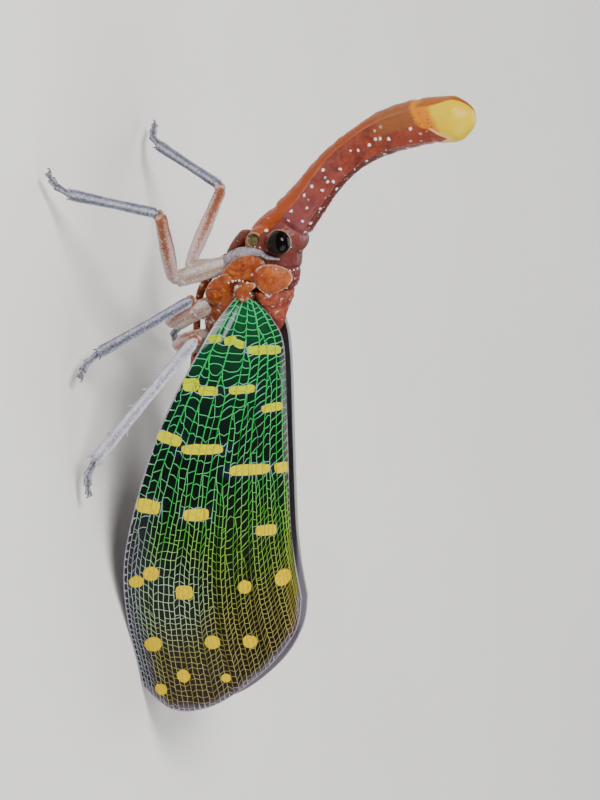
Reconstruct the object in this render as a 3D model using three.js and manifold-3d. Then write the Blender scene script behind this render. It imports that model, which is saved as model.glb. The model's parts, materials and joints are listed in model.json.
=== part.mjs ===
// Life-size still model of a long-snouted lantern bug, a fulgorid planthopper, standing on six feet
// with its head raised and its wings folded like a roof over the back.
// Millimetres. +Z is up, the head points to -X, and the insect's left side faces -Y.
import * as THREE from "three";
import { mergeVertices } from "three/addons/utils/BufferGeometryUtils.js";
import Module from "manifold-3d";

const wasm = await Module();
wasm.setup();

// Space between neighbouring pieces
const GAP = 0.3;
const SLACK = 0.6;

// Snout: the line it bends along, and how far along it the pieces end
const SNOUT = {
  axis: [
    [-12.4, 14.75],
    [-14.4, 17],
    [-16.6, 19.3],
    [-18.1, 21.6],
    [-19.2, 24.4],
    [-19.7, 27.4],
    [-19.65, 29.8],
    [-19.75, 31.6],
  ],
  halfWidth: [1.9, 1.5, 1.32, 1.28, 1.3, 1.42, 1.6, 1.58, 1.5],
  halfDepth: [1.95, 1.68, 1.5, 1.46, 1.5, 1.72, 1.78, 1.74, 1.6],
  foot: 1.5,
  lowerEnds: 7.6,
  upperEnds: 14,
  sliceSize: 9,
};

// Eyes, antennae and ocelli, each given for the left side
const EYE = { at: [-11.6, -2.3, 15.22], radius: 0.96 };
const ANTENNA = { at: [-11.9, -2.5, 13.3], radius: 0.5 };
const OCELLUS = { at: [-12.4, -2.05, 14.2], radius: 0.25 };

// Folded forewing: a plane hung from the ridge of the roof, bulged outwards over its depth. It turns
// steeper between two distances along the ridge, so that the wing tips almost meet.
const ROOF = {
  x: -3.2,
  y: 0.46,
  z: 13.96,
  slopeDeg: 4.6,
  pitchDeg: 62,
  tipPitchDeg: 84,
  steeperFrom: 12,
  steepestAt: 28,
  bulge: 0.9,
  depth: 13.2,
};
const FOREWING = {
  front: [[-4.5, 3.5], [-1.4, 6.05], [6.2, 10.25], [14.8, 12.95], [21.5, 13.35], [27.2, 12.7]],
  hind: [[-3.8, 2.05], [-2.4, 0.85], [0, 0], [7, 0], [14.2, 0], [19.8, -0.75]],
  tip: [[27.2, 12.7], [28.9, 10], [28.3, 6.35], [25.4, 2.25], [22.3, -0.2], [19.8, -0.75]],
  level: 0,
  over: 0.2,
  under: 0.3,
  veinHeight: 0.2,
  veinHalfWidth: 0.17,
};
const HINDWING = {
  front: [[-2.6, 5.1], [3, 8.2], [10, 10.6], [16, 11.2], [20, 10.4]],
  hind: [[-1.9, 3.2], [3, 2.2], [9, 2], [16, 2.6]],
  tip: [[20, 10.4], [21.2, 8], [19.6, 4.6], [16, 2.6]],
  level: -1,
  over: 0.25,
  under: 0.25,
  veinHeight: 0.12,
  veinHalfWidth: 0.2,
};

// Lengthwise veins, in order from a wing's front edge: how far back each lies at the root, half way
// and at the tip, and how far along the wing it rises from the membrane
const FOREWING_VEINS = [
  { across: [0, 0, 0], starts: 0 },
  { across: [0.13, 0.09, 0.08], starts: 0 },
  { across: [0.21, 0.19, 0.17], starts: 0.3 },
  { across: [0.3, 0.29, 0.27], starts: 0 },
  { across: [0.4, 0.38, 0.37], starts: 0.42 },
  { across: [0.5, 0.47, 0.47], starts: 0 },
  { across: [0.59, 0.56, 0.57], starts: 0.36 },
  { across: [0.68, 0.65, 0.67], starts: 0 },
  { across: [0.78, 0.75, 0.78], starts: 0.24 },
  { across: [0.88, 0.86, 0.89], starts: 0 },
  { across: [1, 1, 1], starts: 0 },
];
const HINDWING_VEINS = [0, 0.2, 0.45, 0.7, 1].map((place) => ({ across: [place, place, place], starts: 0 }));
const FOREWING_CROSSINGS = 7;
const HINDWING_CROSSINGS = 3;
// Cross veins: half their width as a share of the wing, how far neighbouring lanes are staggered as a
// share of the space between two crossings, their height as a share of the main veins', and how much
// of a lane a main vein's foot may take
const CROSSING = { half: 0.006, stagger: 0.22, height: 0.8, room: 0.36 };

// Legs: hip, trochanter, knee, ankle and toe of each, on a floor at z = 0
const LEGS = {
  front_left: [
    [-10.4, -1.7, 10.9],
    [-9.45, -3, 6.3],
    [-14.9, -7.98, 8.16],
    [-17.16, -8.99, 0.95],
    [-19, -10.4, 0.26],
  ],
  front_right: [
    [-10.4, 1.7, 10.9],
    [-10.25, 2.5, 5.2],
    [-16, 6.7, 7.05],
    [-19.96, 8.26, 0.95],
    [-21.6, 9.9, 0.26],
  ],
  mid_left: [
    [-7.3, -1.9, 8.9],
    [-6.1, -3, 5.5],
    [-8.15, -7.3, 9.8],
    [-4.44, -7.26, 0.95],
    [-2.9, -9.1, 0.26],
  ],
  mid_right: [
    [-7.3, 1.9, 8.9],
    [-6.3, 3, 5.5],
    [-8.8, 7.1, 9.6],
    [-4.9, 7.9, 0.95],
    [-3.2, 9.6, 0.26],
  ],
  hind_left: [
    [-4.6, -1.5, 8.4],
    [-4.3, -2.9, 5.9],
    [-5.2, -7.6, 9.9],
    [3.66, -9.97, 1],
    [6.2, -9.9, 0.26],
  ],
  hind_right: [
    [-4.6, 1.5, 8.4],
    [-4.3, 2.9, 5.9],
    [-4.9, 7.6, 9.7],
    [4.3, 9.4, 1],
    [6.8, 9.9, 0.26],
  ],
};
const LEG_SIZES = {
  front: { coxa: 0.58, femur: 0.56, tibia: 0.4, tarsus: 0.34, spines: 0 },
  mid: { coxa: 0.6, femur: 0.54, tibia: 0.42, tarsus: 0.34, spines: 0 },
  hind: { coxa: 0.7, femur: 0.58, tibia: 0.48, tarsus: 0.36, spines: 5 },
};
const FLOOR_Z = 0;

const Y = new THREE.Vector3(0, 1, 0);
const Z = new THREE.Vector3(0, 0, 1);
const point = (p) => new THREE.Vector3(...p);
const mirrored = ([x, y, z]) => [x, -y, z];
const { clamp, degToRad, lerp, smoothstep } = THREE.MathUtils;

// Solids

// A closed geometry as a solid that can be joined and cut
function toSolid(geometry) {
  const bare = new THREE.BufferGeometry().setAttribute("position", geometry.getAttribute("position"));
  bare.setIndex(geometry.index);
  const merged = mergeVertices(bare, 1e-4);
  return new wasm.Manifold(
    new wasm.Mesh({
      numProp: 3,
      vertProperties: new Float32Array(merged.getAttribute("position").array),
      triVerts: new Uint32Array(merged.index.array),
    }),
  );
}

// The largest closed surface of a solid, as a geometry
function toGeometry(solid) {
  const pieces = solid.decompose();
  const largest = pieces.reduce((best, piece) => (piece.volume() > best.volume() ? piece : best));
  const mesh = largest.getMesh();
  return new THREE.BufferGeometry()
    .setAttribute("position", new THREE.BufferAttribute(mesh.vertProperties, 3))
    .setIndex(new THREE.BufferAttribute(mesh.triVerts, 1));
}

const join = (first, ...rest) => rest.reduce((whole, piece) => whole.add(piece), first);
const cut = (first, ...rest) => rest.reduce((whole, piece) => whole.subtract(piece), first);

// A smooth value along a part, through a few values at even steps
function along(...values) {
  const line = new THREE.SplineCurve(values.map((value, i) => new THREE.Vector2(i, value)));
  return (share) => line.getPoint(share).y;
}

const path = (...points) => new THREE.CatmullRomCurve3(points.map(point));

// A closed form along a path: a sphere whose rings are spread along it, each with a half width and a
// half depth. Blunt 4 leaves the ends as round as an ellipsoid's, and more makes them blunter.
function form(line, width, depth, { sides = 12, rings = 10, blunt = 4, relief = () => 1, grow = 0 } = {}) {
  const geometry = new THREE.SphereGeometry(1, sides, rings);
  const spots = geometry.getAttribute("position");
  const spot = new THREE.Vector3();
  for (let i = 0; i < spots.count; i++) {
    spot.fromBufferAttribute(spots, i);
    const share = clamp((1 - spot.y) / 2, 0, 1);
    const onRing = Math.hypot(spot.x, spot.z) > 1e-6;
    const angle = Math.atan2(spot.z, spot.x);
    const forward = line.getTangentAt(share);
    const side = Y.clone().addScaledVector(forward, -Y.dot(forward)).normalize();
    const up = forward.clone().cross(side);
    const taper = Math.min(1, Math.sqrt(blunt * share * (1 - share))) * relief(angle, share);
    const wide = onRing ? width(share) * taper + grow : 0;
    const deep = onRing ? depth(share) * taper + grow : 0;
    const place = line
      .getPointAt(share)
      .addScaledVector(side, Math.cos(angle) * wide)
      .addScaledVector(up, Math.sin(angle) * deep)
      .addScaledVector(forward, -spot.y * grow);
    spots.setXYZ(i, ...place);
  }
  return toSolid(geometry);
}

function ball(at, radii, { grow = 0, sides = 14 } = {}) {
  const [x, y, z] = radii.map((radius) => radius + grow);
  return toSolid(new THREE.SphereGeometry(1, sides, sides / 2).scale(x, y, z).translate(...at));
}

// A thin square across a path, to part a long piece
function slice(line, distance, size) {
  const share = distance / line.getLength();
  const turn = new THREE.Quaternion().setFromUnitVectors(Z, line.getTangentAt(share));
  const square = new THREE.BoxGeometry(size, size, GAP).applyQuaternion(turn);
  return toSolid(square.translate(...line.getPointAt(share)));
}

const model = new THREE.Group();

function addNode(name, solid, material) {
  const mesh = new THREE.Mesh(toGeometry(solid), material);
  mesh.name = name;
  model.add(mesh);
}

const finish = (color, roughness) => new THREE.MeshStandardMaterial({ color, roughness, metalness: 0 });
const chitin = finish(0x9a4a26, 0.45);
const lantern = finish(0xf5cf2c, 0.35);
const eyeGloss = finish(0x2a1712, 0.12);
const knobBrown = finish(0x8f8264, 0.4);
const waxed = finish(0xcfc6c2, 0.8);
const shank = finish(0x8d8b92, 0.7);
const tegmen = finish(0x1f6a3f, 0.5);
const membrane = finish(0x9fc4bb, 0.5);
const belly = finish(0xb9a695, 0.8);

// Wings

// A place on the folded wing: how far back along the ridge, how far down the roof, and how high over it.
// What lies above the ridge stands straight up.
function roofPlace(side, back, down, height) {
  const slope = degToRad(ROOF.slopeDeg);
  const turned = smoothstep(back, ROOF.steeperFrom, ROOF.steepestAt);
  const pitch = degToRad(lerp(ROOF.pitchDeg, ROOF.tipPitchDeg, turned));
  const backwards = new THREE.Vector3(Math.cos(slope), 0, -Math.sin(slope));
  const downwards = Y.clone().multiplyScalar(side).cross(backwards).multiplyScalar(side);
  downwards.multiplyScalar(Math.sin(pitch)).addScaledVector(Y, side * Math.cos(pitch));
  const outwards = backwards.clone().cross(downwards).multiplyScalar(side);
  const place = new THREE.Vector3(ROOF.x, side * ROOF.y, ROOF.z).addScaledVector(backwards, back);
  if (down < 0) {
    const upright = clamp(-down / 0.4, 0, 1);
    outwards.lerp(Y.clone().multiplyScalar(side), upright).normalize();
    return place.addScaledVector(Z, -down).addScaledVector(outwards, height);
  }
  const share = Math.min(1, down / ROOF.depth);
  const bulge = ROOF.bulge * 4 * share * (1 - share);
  return place.addScaledVector(downwards, down).addScaledVector(outwards, height + bulge);
}

// A point between a wing's edges: share 0 is its root and 1 its tip, across 0 is its front edge and 1 its
// hind edge
function wingPoint({ front, hind, tip }, share, across) {
  const edge = (points) => new THREE.SplineCurve(points.map((p) => new THREE.Vector2(...p)));
  const [frontEdge, hindEdge, tipEdge] = [front, hind, tip].map(edge);
  const chord = tipEdge.getPointAt(0).lerp(tipEdge.getPointAt(1), across);
  const outer = tipEdge.getPointAt(across).sub(chord).multiplyScalar(share);
  return frontEdge.getPointAt(share).lerp(hindEdge.getPointAt(share), across).add(outer);
}

// One closed sheet of two faces that are split alike, from rows of spots on the roof and their heights
function sheet(side, rows) {
  const columns = rows[0].length;
  const upper = rows.flat().map(({ back, down, top }) => roofPlace(side, back, down, top));
  const lower = rows.flat().map(({ back, down, bottom }) => roofPlace(side, back, down, bottom));
  const faces = [];
  const quad = (a, b, c, d) => faces.push(...(side < 0 ? [a, b, c, a, c, d] : [a, c, b, a, d, c]));
  const spot = (row, column) => row * columns + column;
  const below = upper.length;
  for (let row = 0; row + 1 < rows.length; row++) {
    for (let column = 0; column + 1 < columns; column++) {
      const next = row + 1;
      const corners = [spot(row, column), spot(row, column + 1), spot(next, column + 1), spot(next, column)];
      const [a, b, c, d] = corners;
      quad(d, c, b, a);
      const [e, f, g, h] = corners.map((corner) => corner + below);
      faces.push(...(side < 0 ? [h, e, f, h, f, g] : [h, f, e, h, g, f]));
    }
  }
  const rim = (a, b) => quad(a, b, b + below, a + below);
  for (let row = 0; row + 1 < rows.length; row++) {
    rim(spot(row + 1, 0), spot(row, 0));
    rim(spot(row, columns - 1), spot(row + 1, columns - 1));
  }
  for (let column = 0; column + 1 < columns; column++) {
    rim(spot(0, column), spot(0, column + 1));
    rim(spot(rows.length - 1, column + 1), spot(rows.length - 1, column));
  }
  const geometry = new THREE.BufferGeometry();
  const values = [...upper, ...lower].flatMap((place) => place.toArray());
  geometry.setAttribute("position", new THREE.BufferAttribute(new Float32Array(values), 3));
  geometry.setIndex(faces);
  return toSolid(geometry);
}

// Where a vein lies between the front and the hind edge, and how far it has risen
function veinAt({ across: [root, middle, end], starts }, share) {
  const place = share < 0.5 ? lerp(root, middle, share * 2) : lerp(middle, end, share * 2 - 1);
  return { place, risen: starts === 0 ? 1 : smoothstep(share, starts, starts + 0.06) };
}

// A wing: lengthwise veins with cross veins between them, all raised in the sheet's outer face.
// The cross veins of neighbouring lanes are staggered.
function wing(side, shape, veins, crossings) {
  const { level, over, under, veinHeight, veinHalfWidth } = shape;
  const step = 1 / (crossings + 0.5);
  const stations = [{ share: 0, crest: false }];
  for (let i = 0; i < crossings; i++) {
    const share = (i + 0.75) * step;
    stations.push({ share: share - CROSSING.half }, { share, crest: true }, { share: share + CROSSING.half });
  }
  stations.push({ share: 1 });
  const last = veins.length - 1;
  const lift = (lane) => (lane % 2 ? CROSSING.stagger : -CROSSING.stagger) * step;
  const rows = stations.map(({ share, crest }) => {
    const ends = share === 0 || share === 1;
    const moved = (lane) => (ends ? share : share + lift(lane));
    const row = [];
    const add = (shareHere, across, height) => {
      const { x, y } = wingPoint(shape, shareHere, across);
      row.push({ back: x, down: y, top: level + over + height, bottom: level - under });
    };
    veins.forEach((vein, k) => {
      const middle = (moved(Math.max(k - 1, 0)) + moved(Math.min(k, last - 1))) / 2;
      const chord = wingPoint(shape, share, 0).distanceTo(wingPoint(shape, share, 1));
      const { place, risen } = veinAt(vein, middle);
      const foot = (neighbour, lane) => {
        const near = veinAt(neighbour, moved(lane)).place;
        const own = veinAt(vein, moved(lane)).place;
        const reach = Math.min(veinHalfWidth / chord, Math.abs(near - own) * CROSSING.room);
        const height = crest && lane > 0 && lane < last ? veinHeight * CROSSING.height : 0;
        add(moved(lane), own + Math.sign(near - own) * reach, height);
      };
      if (k > 0) foot(veins[k - 1], k - 1);
      add(middle, place, veinHeight * risen);
      if (k < last) foot(veins[k + 1], k);
    });
    return row;
  });
  return sheet(side, rows);
}

// The room that a folded wing takes from the body, from some height under its middle up to the open air
function wingRoom(side, shape, from) {
  const rows = [0, 0.15, 0.35, 0.6, 0.85, 1].map((share) =>
    [0, 0.15, 0.4, 0.6, 0.8, 1].map((across) => {
      const { x, y } = wingPoint(shape, share, across);
      const beyond = across === 0 ? SLACK : across === 1 ? -SLACK : 0;
      return { back: x - (share === 0 ? 2 * GAP : 0), down: Math.max(0, y + beyond), top: 4, bottom: from };
    }),
  );
  return sheet(side, rows);
}

// Head and snout

const snoutLine = path(...SNOUT.axis.map(([x, z]) => [x, 0, z]));

// Six keels run along the snout and fade at its bulb
const keels = (angle, share) => 1 + 0.05 * Math.cos(6 * angle) * (1 - smoothstep(share, 0.55, 0.75));

function headAndSnout() {
  const snout = form(snoutLine, along(...SNOUT.halfWidth), along(...SNOUT.halfDepth), {
    sides: 18,
    rings: 22,
    blunt: 14,
    relief: keels,
  });
  const crownLine = path([-8.9, 0, 13.9], [-11, 0, 14.2], [-13.3, 0, 14.9]);
  const fine = { sides: 16, rings: 10, blunt: 6 };
  const crown = form(crownLine, along(2, 2.1, 1.5), along(1.85, 1.9, 1.6), fine);
  const faceLine = path([-14.6, 0, 16.6], [-13.1, 0, 14.4], [-11.8, 0, 11.9]);
  const face = form(faceLine, along(1.2, 1.7, 1.1), along(0.7, 1.1, 0.8), { blunt: 6 });
  const cheeks = [1, -1].map((side) => ball([-11.7, side * 1.5, 13.7], [1.3, 1.05, 1.5]));
  const ocellus = (at) => ball(at, Array(3).fill(OCELLUS.radius), { sides: 8 });
  const ocelli = [ocellus(OCELLUS.at), ocellus(mirrored(OCELLUS.at))];
  return join(snout, crown, face, ...cheeks, ...ocelli);
}

const eye = (at, grow = 0) => ball(at, [EYE.radius, EYE.radius * 0.9, EYE.radius], { grow, sides: 16 });

// A round second joint with a short bristle that tapers forwards and down
const knob = (at, grow = 0) => ball(at, Array(3).fill(ANTENNA.radius), { grow, sides: 12 });

function antenna(at) {
  const outwards = Math.sign(at[1]);
  const tip = [at[0] - 1.1, at[1] + outwards * 1.2, at[2] - 0.6];
  const start = at.map((value, i) => lerp(value, tip[i], 0.15));
  const middle = at.map((value, i) => lerp(value, tip[i], 0.6));
  const thickness = along(0.26, 0.16, 0.1, 0.06);
  return knob(at).add(form(path(start, middle, tip), thickness, thickness, { sides: 6, rings: 6, blunt: 9 }));
}

// Body plates

function pronotum(grow = 0) {
  const line = path([-9.1, 0, 10.3], [-9.15, 0, 13], [-9.35, 0, 15.75]);
  const width = along(2.4, 2.85, 2.85, 2.4, 1.5);
  return form(line, width, along(0.85, 1.1, 1.3, 1.5, 1.5), { sides: 18, rings: 10, blunt: 7, grow });
}

// A keel stands along the middle of the mesonotum's back
const keeled = (angle) => 1 + 0.08 * Math.exp(-(((angle - Math.PI / 2) / 0.2) ** 2));

function mesonotum(grow = 0) {
  const line = path([-8.3, 0, 13.5], [-6.4, 0, 13.35], [-4.6, 0, 13.35]);
  const [width, depth] = [along(2.4, 2.3, 1.6, 0.9, 0.35), along(1.45, 1.4, 1.05, 0.75, 0.4)];
  return form(line, width, depth, { sides: 18, rings: 10, blunt: 9, relief: keeled, grow });
}

function thorax(grow = 0) {
  const line = path([-9.2, 0, 11.4], [-6, 0, 10.2], [-2.6, 0, 9.1]);
  const [width, depth] = [along(2.3, 2.75, 2.8, 2.6, 2.3), along(2.2, 2.5, 2.45, 2.35, 2.1)];
  return form(line, width, depth, { sides: 18, rings: 10, blunt: 9, grow });
}

// The abdomen's rings are each fullest at their hind edge
const ABDOMEN_RINGS = 7;
const ringed = (angle, share) => 0.93 + 0.07 * ((share * ABDOMEN_RINGS) % 1);

function abdomen(grow = 0) {
  const line = path([-3, 0, 8.8], [1.5, 0, 7.8], [7, 0, 7], [12.8, 0, 6.7]);
  const [width, depth] = [along(2.3, 2.7, 2.6, 2.1, 1.2), along(2.1, 2.1, 1.8, 1.3, 0.8)];
  return form(line, width, depth, { sides: 16, rings: 3 * ABDOMEN_RINGS, blunt: 12, relief: ringed, grow });
}

function abdomenTip() {
  const line = path([11.6, 0, 6.75], [13.2, 0, 6.7], [14.8, 0, 6.6]);
  return form(line, along(1, 0.8, 0.35), along(0.75, 0.5, 0.25), { blunt: 8 });
}

function clypeus(grow = 0) {
  const line = path([-12.5, 0, 12.2], [-11.5, 0, 11], [-10.5, 0, 9.8]);
  return form(line, along(1.1, 0.95, 0.5), along(0.75, 0.7, 0.4), { blunt: 7, grow });
}

function beak(grow = 0) {
  const thickness = along(0.36, 0.32, 0.28, 0.24);
  const line = path([-10.9, 0, 10.1], [-10, 0, 8.8], [-8, 0, 7.1], [-4, 0, 6.2], [0, 0, 5.2]);
  return form(line, thickness, thickness, { sides: 7, rings: 14, blunt: 30, grow });
}

const tegula = (side, grow = 0) => ball([-8.1, side * 2.85, 12], [0.85, 0.4, 0.7], { grow, sides: 12 });

// Legs

// A straight limb between two points, as thick at even steps as its girths say
function limb(from, to, girths, options = {}) {
  const line = new THREE.LineCurve3(point(from), point(to));
  return form(line, along(...girths), along(...girths), { sides: 8, rings: 6, blunt: 20, ...options });
}

const partWay = (from, to, share) => point(from).lerp(point(to), share).toArray();
const stepTowards = (from, to, distance) => partWay(from, to, distance / point(from).distanceTo(point(to)));
const edged = (angle) => 1 + 0.08 * Math.cos(4 * angle);

// Thorns stand along the outer side of a shin and lean towards its foot
function thorns(knee, ankle, tibia, count) {
  const outwards = new THREE.Vector3(0, Math.sign(ankle[1]), 0.35).normalize();
  const lean = point(ankle).sub(point(knee)).setLength(0.5);
  return Array.from({ length: count }, (_, i) => {
    const root = point(partWay(knee, ankle, 0.3 + 0.15 * i));
    const tip = root.clone().addScaledVector(outwards, tibia * 2.1).add(lean);
    return limb(root.toArray(), tip.toArray(), [0.2, 0.1], { sides: 5, rings: 4, blunt: 8 });
  });
}

// Three joints of a foot: one slopes down to the floor and two lie along it
function footJoints(ankle, toe, tarsus, grow) {
  const heel = [...partWay(ankle, toe, 0.4).slice(0, 2), tarsus * 0.9];
  const small = { sides: 6, rings: 5, grow };
  const girths = (...shares) => shares.map((share) => share * tarsus);
  return join(
    limb(stepTowards(ankle, heel, GAP / 2), heel, girths(0.9, 0.8, 1), small),
    limb(stepTowards(heel, ankle, tarsus), partWay(heel, toe, 0.5), girths(0.9, 1.05), small),
    limb(partWay(heel, toe, 0.4), toe, girths(0.8, 0.75, 0.95), small),
  );
}

// The segments of a leg in order from the body, each parted from the last by a small gap
function leg([hip, trochanter, knee, ankle, toe], { coxa, femur, tibia, tarsus, spines }) {
  const girths = (size, ...shares) => shares.map((share) => share * size);
  const hipEnd = stepTowards(trochanter, hip, GAP / 2);
  const hipJoint = (grow) => limb(hip, hipEnd, girths(coxa, 1.5, 1.3, 1), { grow });
  const thigh = (grow) => {
    const ends = [stepTowards(trochanter, knee, GAP / 2), stepTowards(knee, trochanter, GAP / 2)];
    return limb(...ends, girths(femur, 0.75, 1, 1.05, 0.9, 0.85), { relief: edged, grow });
  };
  const shin = (grow) => {
    const ends = [stepTowards(knee, ankle, GAP / 2), stepTowards(ankle, knee, GAP / 2)];
    return limb(...ends, girths(tibia, 1, 0.95, 0.9, 1, 1.1), { relief: edged, grow });
  };
  return {
    socket: hipJoint(GAP),
    coxa: cut(hipJoint(0), thigh(GAP)),
    femur: cut(thigh(0), shin(1.4 * GAP)),
    tibia: cut(join(shin(0), ...thorns(knee, ankle, tibia, spines)), footJoints(ankle, toe, tarsus, GAP)),
    tarsus: footJoints(ankle, toe, tarsus, 0),
  };
}

// Everything under the floor, cut away so that the feet stand on small flats
const ground = () => toSolid(new THREE.BoxGeometry(80, 80, 10).translate(0, 0, FLOOR_Z - 5));

// Assembly

const sides = { left: -1, right: 1 };
const head = headAndSnout();
const snoutSlice = (distance) => slice(snoutLine, distance, SNOUT.sliceSize);
const [foot, lowerEnd, upperEnd] = [SNOUT.foot, SNOUT.lowerEnds, SNOUT.upperEnds].map(snoutSlice);
const eyes = [EYE.at, mirrored(EYE.at)];
const antennae = [ANTENNA.at, mirrored(ANTENNA.at)];
const sockets = [...eyes.map((at) => eye(at, GAP)), ...antennae.map((at) => knob(at, GAP))];

const lengths = cut(head, foot, lowerEnd, upperEnd).decompose().filter((piece) => piece.volume() > 1);
const heightOf = (piece) => piece.boundingBox().max[2];
const [skull, snoutLower, snoutUpper, snoutTip] = lengths.sort((a, b) => heightOf(a) - heightOf(b));

addNode("head", cut(skull, ...sockets, pronotum(GAP), clypeus(GAP)), chitin);
addNode("snout_lower", snoutLower, chitin);
addNode("snout_upper", snoutUpper, chitin);
addNode("snout_tip", snoutTip, lantern);
addNode("clypeus", clypeus(), chitin);
addNode("beak", cut(beak(), clypeus(GAP)), chitin);

const legs = Object.fromEntries(
  Object.entries(LEGS).map(([name, points]) => [name, leg(points, LEG_SIZES[name.split("_")[0]])]),
);
const roomsFor = (shape) => [-1, 1].map((side) => wingRoom(side, shape, shape.level - shape.under - SLACK));
const wingRooms = roomsFor(FOREWING);
const rooms = [...wingRooms, ...roomsFor(HINDWING)];
const hips = Object.values(legs).map(({ socket }) => socket);

addNode("pronotum", cut(pronotum(), ...hips), chitin);
addNode("mesonotum", cut(mesonotum(), pronotum(GAP), ...wingRooms), chitin);
const besideThorax = [...hips, pronotum(GAP), mesonotum(GAP), beak(GAP), clypeus(GAP), ...rooms];
addNode("thorax", cut(thorax(), ...besideThorax), belly);
addNode("abdomen", cut(join(abdomen(), abdomenTip()), thorax(GAP), mesonotum(GAP), ...rooms), belly);

for (const [name, side] of Object.entries(sides)) {
  const index = side < 0 ? 0 : 1;
  addNode(`eye_${name}`, eye(eyes[index]), eyeGloss);
  addNode(`antenna_${name}`, antenna(antennae[index]), knobBrown);
  addNode(`tegula_${name}`, cut(tegula(side), pronotum(GAP), thorax(GAP), ...wingRooms), waxed);
  addNode(`tegmen_${name}`, wing(side, FOREWING, FOREWING_VEINS, FOREWING_CROSSINGS), tegmen);
  addNode(`hindwing_${name}`, wing(side, HINDWING, HINDWING_VEINS, HINDWING_CROSSINGS), membrane);
}
for (const [name, { coxa, femur, tibia, tarsus }] of Object.entries(legs)) {
  addNode(`coxa_${name}`, coxa, waxed);
  addNode(`femur_${name}`, femur, waxed);
  addNode(`tibia_${name}`, tibia, shank);
  addNode(`tarsus_${name}`, cut(tarsus, ground()), shank);
}

// The origin goes to the middle of the model's box, on the floor
const { min, max } = new THREE.Box3().setFromObject(model);
model.position.set(-(min.x + max.x) / 2, -(min.y + max.y) / 2, -min.z);

export default model;
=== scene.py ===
"""A long-snouted lantern bug at life size, dressed around its solid model.

The file is laid out as an add-on: its sizes and colours are properties, each group of pieces has its own
operator, and one panel lists them.
"""

import json
import math
import random

import bmesh
import bpy
import numpy as np
from bpy.props import FloatProperty, FloatVectorProperty, IntProperty, PointerProperty
from bpy.types import Operator, Panel, PropertyGroup
from mathutils import Matrix, Vector, noise

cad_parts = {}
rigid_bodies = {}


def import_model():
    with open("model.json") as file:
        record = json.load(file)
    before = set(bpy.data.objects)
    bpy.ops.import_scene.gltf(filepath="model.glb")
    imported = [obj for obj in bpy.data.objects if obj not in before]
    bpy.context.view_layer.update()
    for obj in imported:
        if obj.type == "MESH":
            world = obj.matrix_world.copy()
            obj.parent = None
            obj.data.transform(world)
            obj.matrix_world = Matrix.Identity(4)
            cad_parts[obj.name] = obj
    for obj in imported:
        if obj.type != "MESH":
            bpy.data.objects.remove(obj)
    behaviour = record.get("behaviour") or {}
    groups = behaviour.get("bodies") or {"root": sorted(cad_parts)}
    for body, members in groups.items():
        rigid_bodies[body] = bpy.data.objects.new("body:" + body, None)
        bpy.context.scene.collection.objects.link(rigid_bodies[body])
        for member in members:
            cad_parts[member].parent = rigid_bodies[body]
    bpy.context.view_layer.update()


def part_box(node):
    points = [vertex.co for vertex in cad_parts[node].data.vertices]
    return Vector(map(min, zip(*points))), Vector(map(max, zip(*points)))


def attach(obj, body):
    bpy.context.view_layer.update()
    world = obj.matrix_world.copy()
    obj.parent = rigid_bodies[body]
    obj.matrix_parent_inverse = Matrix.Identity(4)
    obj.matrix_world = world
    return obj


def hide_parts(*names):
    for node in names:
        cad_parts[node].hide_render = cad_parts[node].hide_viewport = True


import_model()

bl_info = {
    "name": "Long-snouted lantern bug",
    "version": (1, 0, 0),
    "blender": (4, 5, 0),
    "location": "3D View > Sidebar > Lantern Bug",
    "description": "Models a life-size lantern bug with netted wings around its solid parts",
    "category": "Object",
}

MM = 0.001
SIDES = {"left": -1, "right": 1}

# Where things stand before the model is centred on its box, in millimetres, as are all places and lengths
# below unless a comment says otherwise
EYE_AT = (-11.6, -2.3, 15.22)
EYE_RADIUS = 0.96
# The far eye lies deeper in the head, which hides it in this pose
FAR_EYE_IN = 0.7
ANTENNA_AT = (-11.95, -2.5, 13.3)
OCELLUS_AT = (-12.55, -2.05, 14.25)


def box_centre(node):
    """The middle of a solid's box, in millimetres"""
    low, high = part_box(node)
    return (np.array(low) + np.array(high)) / 2 / MM


# The centring of the model: how far it has moved an eye from its place in the solid model
SHIFT = box_centre("eye_left") - np.array(EYE_AT)

# The folded wing hangs from the ridge of a roof and is bulged outwards
ROOF = {"x": -3.2, "y": 0.46, "z": 13.96, "slope": math.radians(4.6)}
# The roof's pitch, at these distances along the ridge
ROOF_PITCH = {12: math.radians(62), 28: math.radians(84)}
ROOF_BULGE = 0.9
ROOF_DEPTH = 13.2
FOREWING = {
    "front": [(-4.5, 3.5), (-1.4, 6.05), (6.2, 10.25), (14.8, 12.95), (21.5, 13.35), (27.2, 12.7)],
    "hind": [(-3.8, 2.05), (-2.4, 0.85), (0, 0), (7, 0), (14.2, 0), (19.8, -0.75)],
    "tip": [(27.2, 12.7), (28.9, 10), (28.3, 6.35), (25.4, 2.25), (22.3, -0.2), (19.8, -0.75)],
}
HINDWING = {
    "front": [(-2.6, 5.1), (3, 8.2), (10, 10.6), (16, 11.2), (20, 10.4)],
    "hind": [(-1.9, 3.2), (3, 2.2), (9, 2), (16, 2.6)],
    "tip": [(20, 10.4), (21.2, 8), (19.6, 4.6), (16, 2.6)],
}
# Main veins from the front edge back: how far across the wing each lies at the root, half way and at the
# tip, and where it leaves its neighbour
FOREWING_VEINS = [
    (0, 0, 0, 0),
    (0.13, 0.09, 0.08, 0),
    (0.21, 0.19, 0.17, 0.16),
    (0.3, 0.29, 0.27, 0),
    (0.4, 0.38, 0.37, 0.2),
    (0.5, 0.47, 0.47, 0),
    (0.59, 0.56, 0.57, 0.13),
    (0.68, 0.65, 0.67, 0),
    (0.78, 0.75, 0.78, 0.1),
    (0.88, 0.86, 0.89, 0),
    (1, 1, 1, 0),
]
HINDWING_VEINS = [(across, across, across, 0) for across in (0, 0.2, 0.45, 0.7, 1)]
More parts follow.
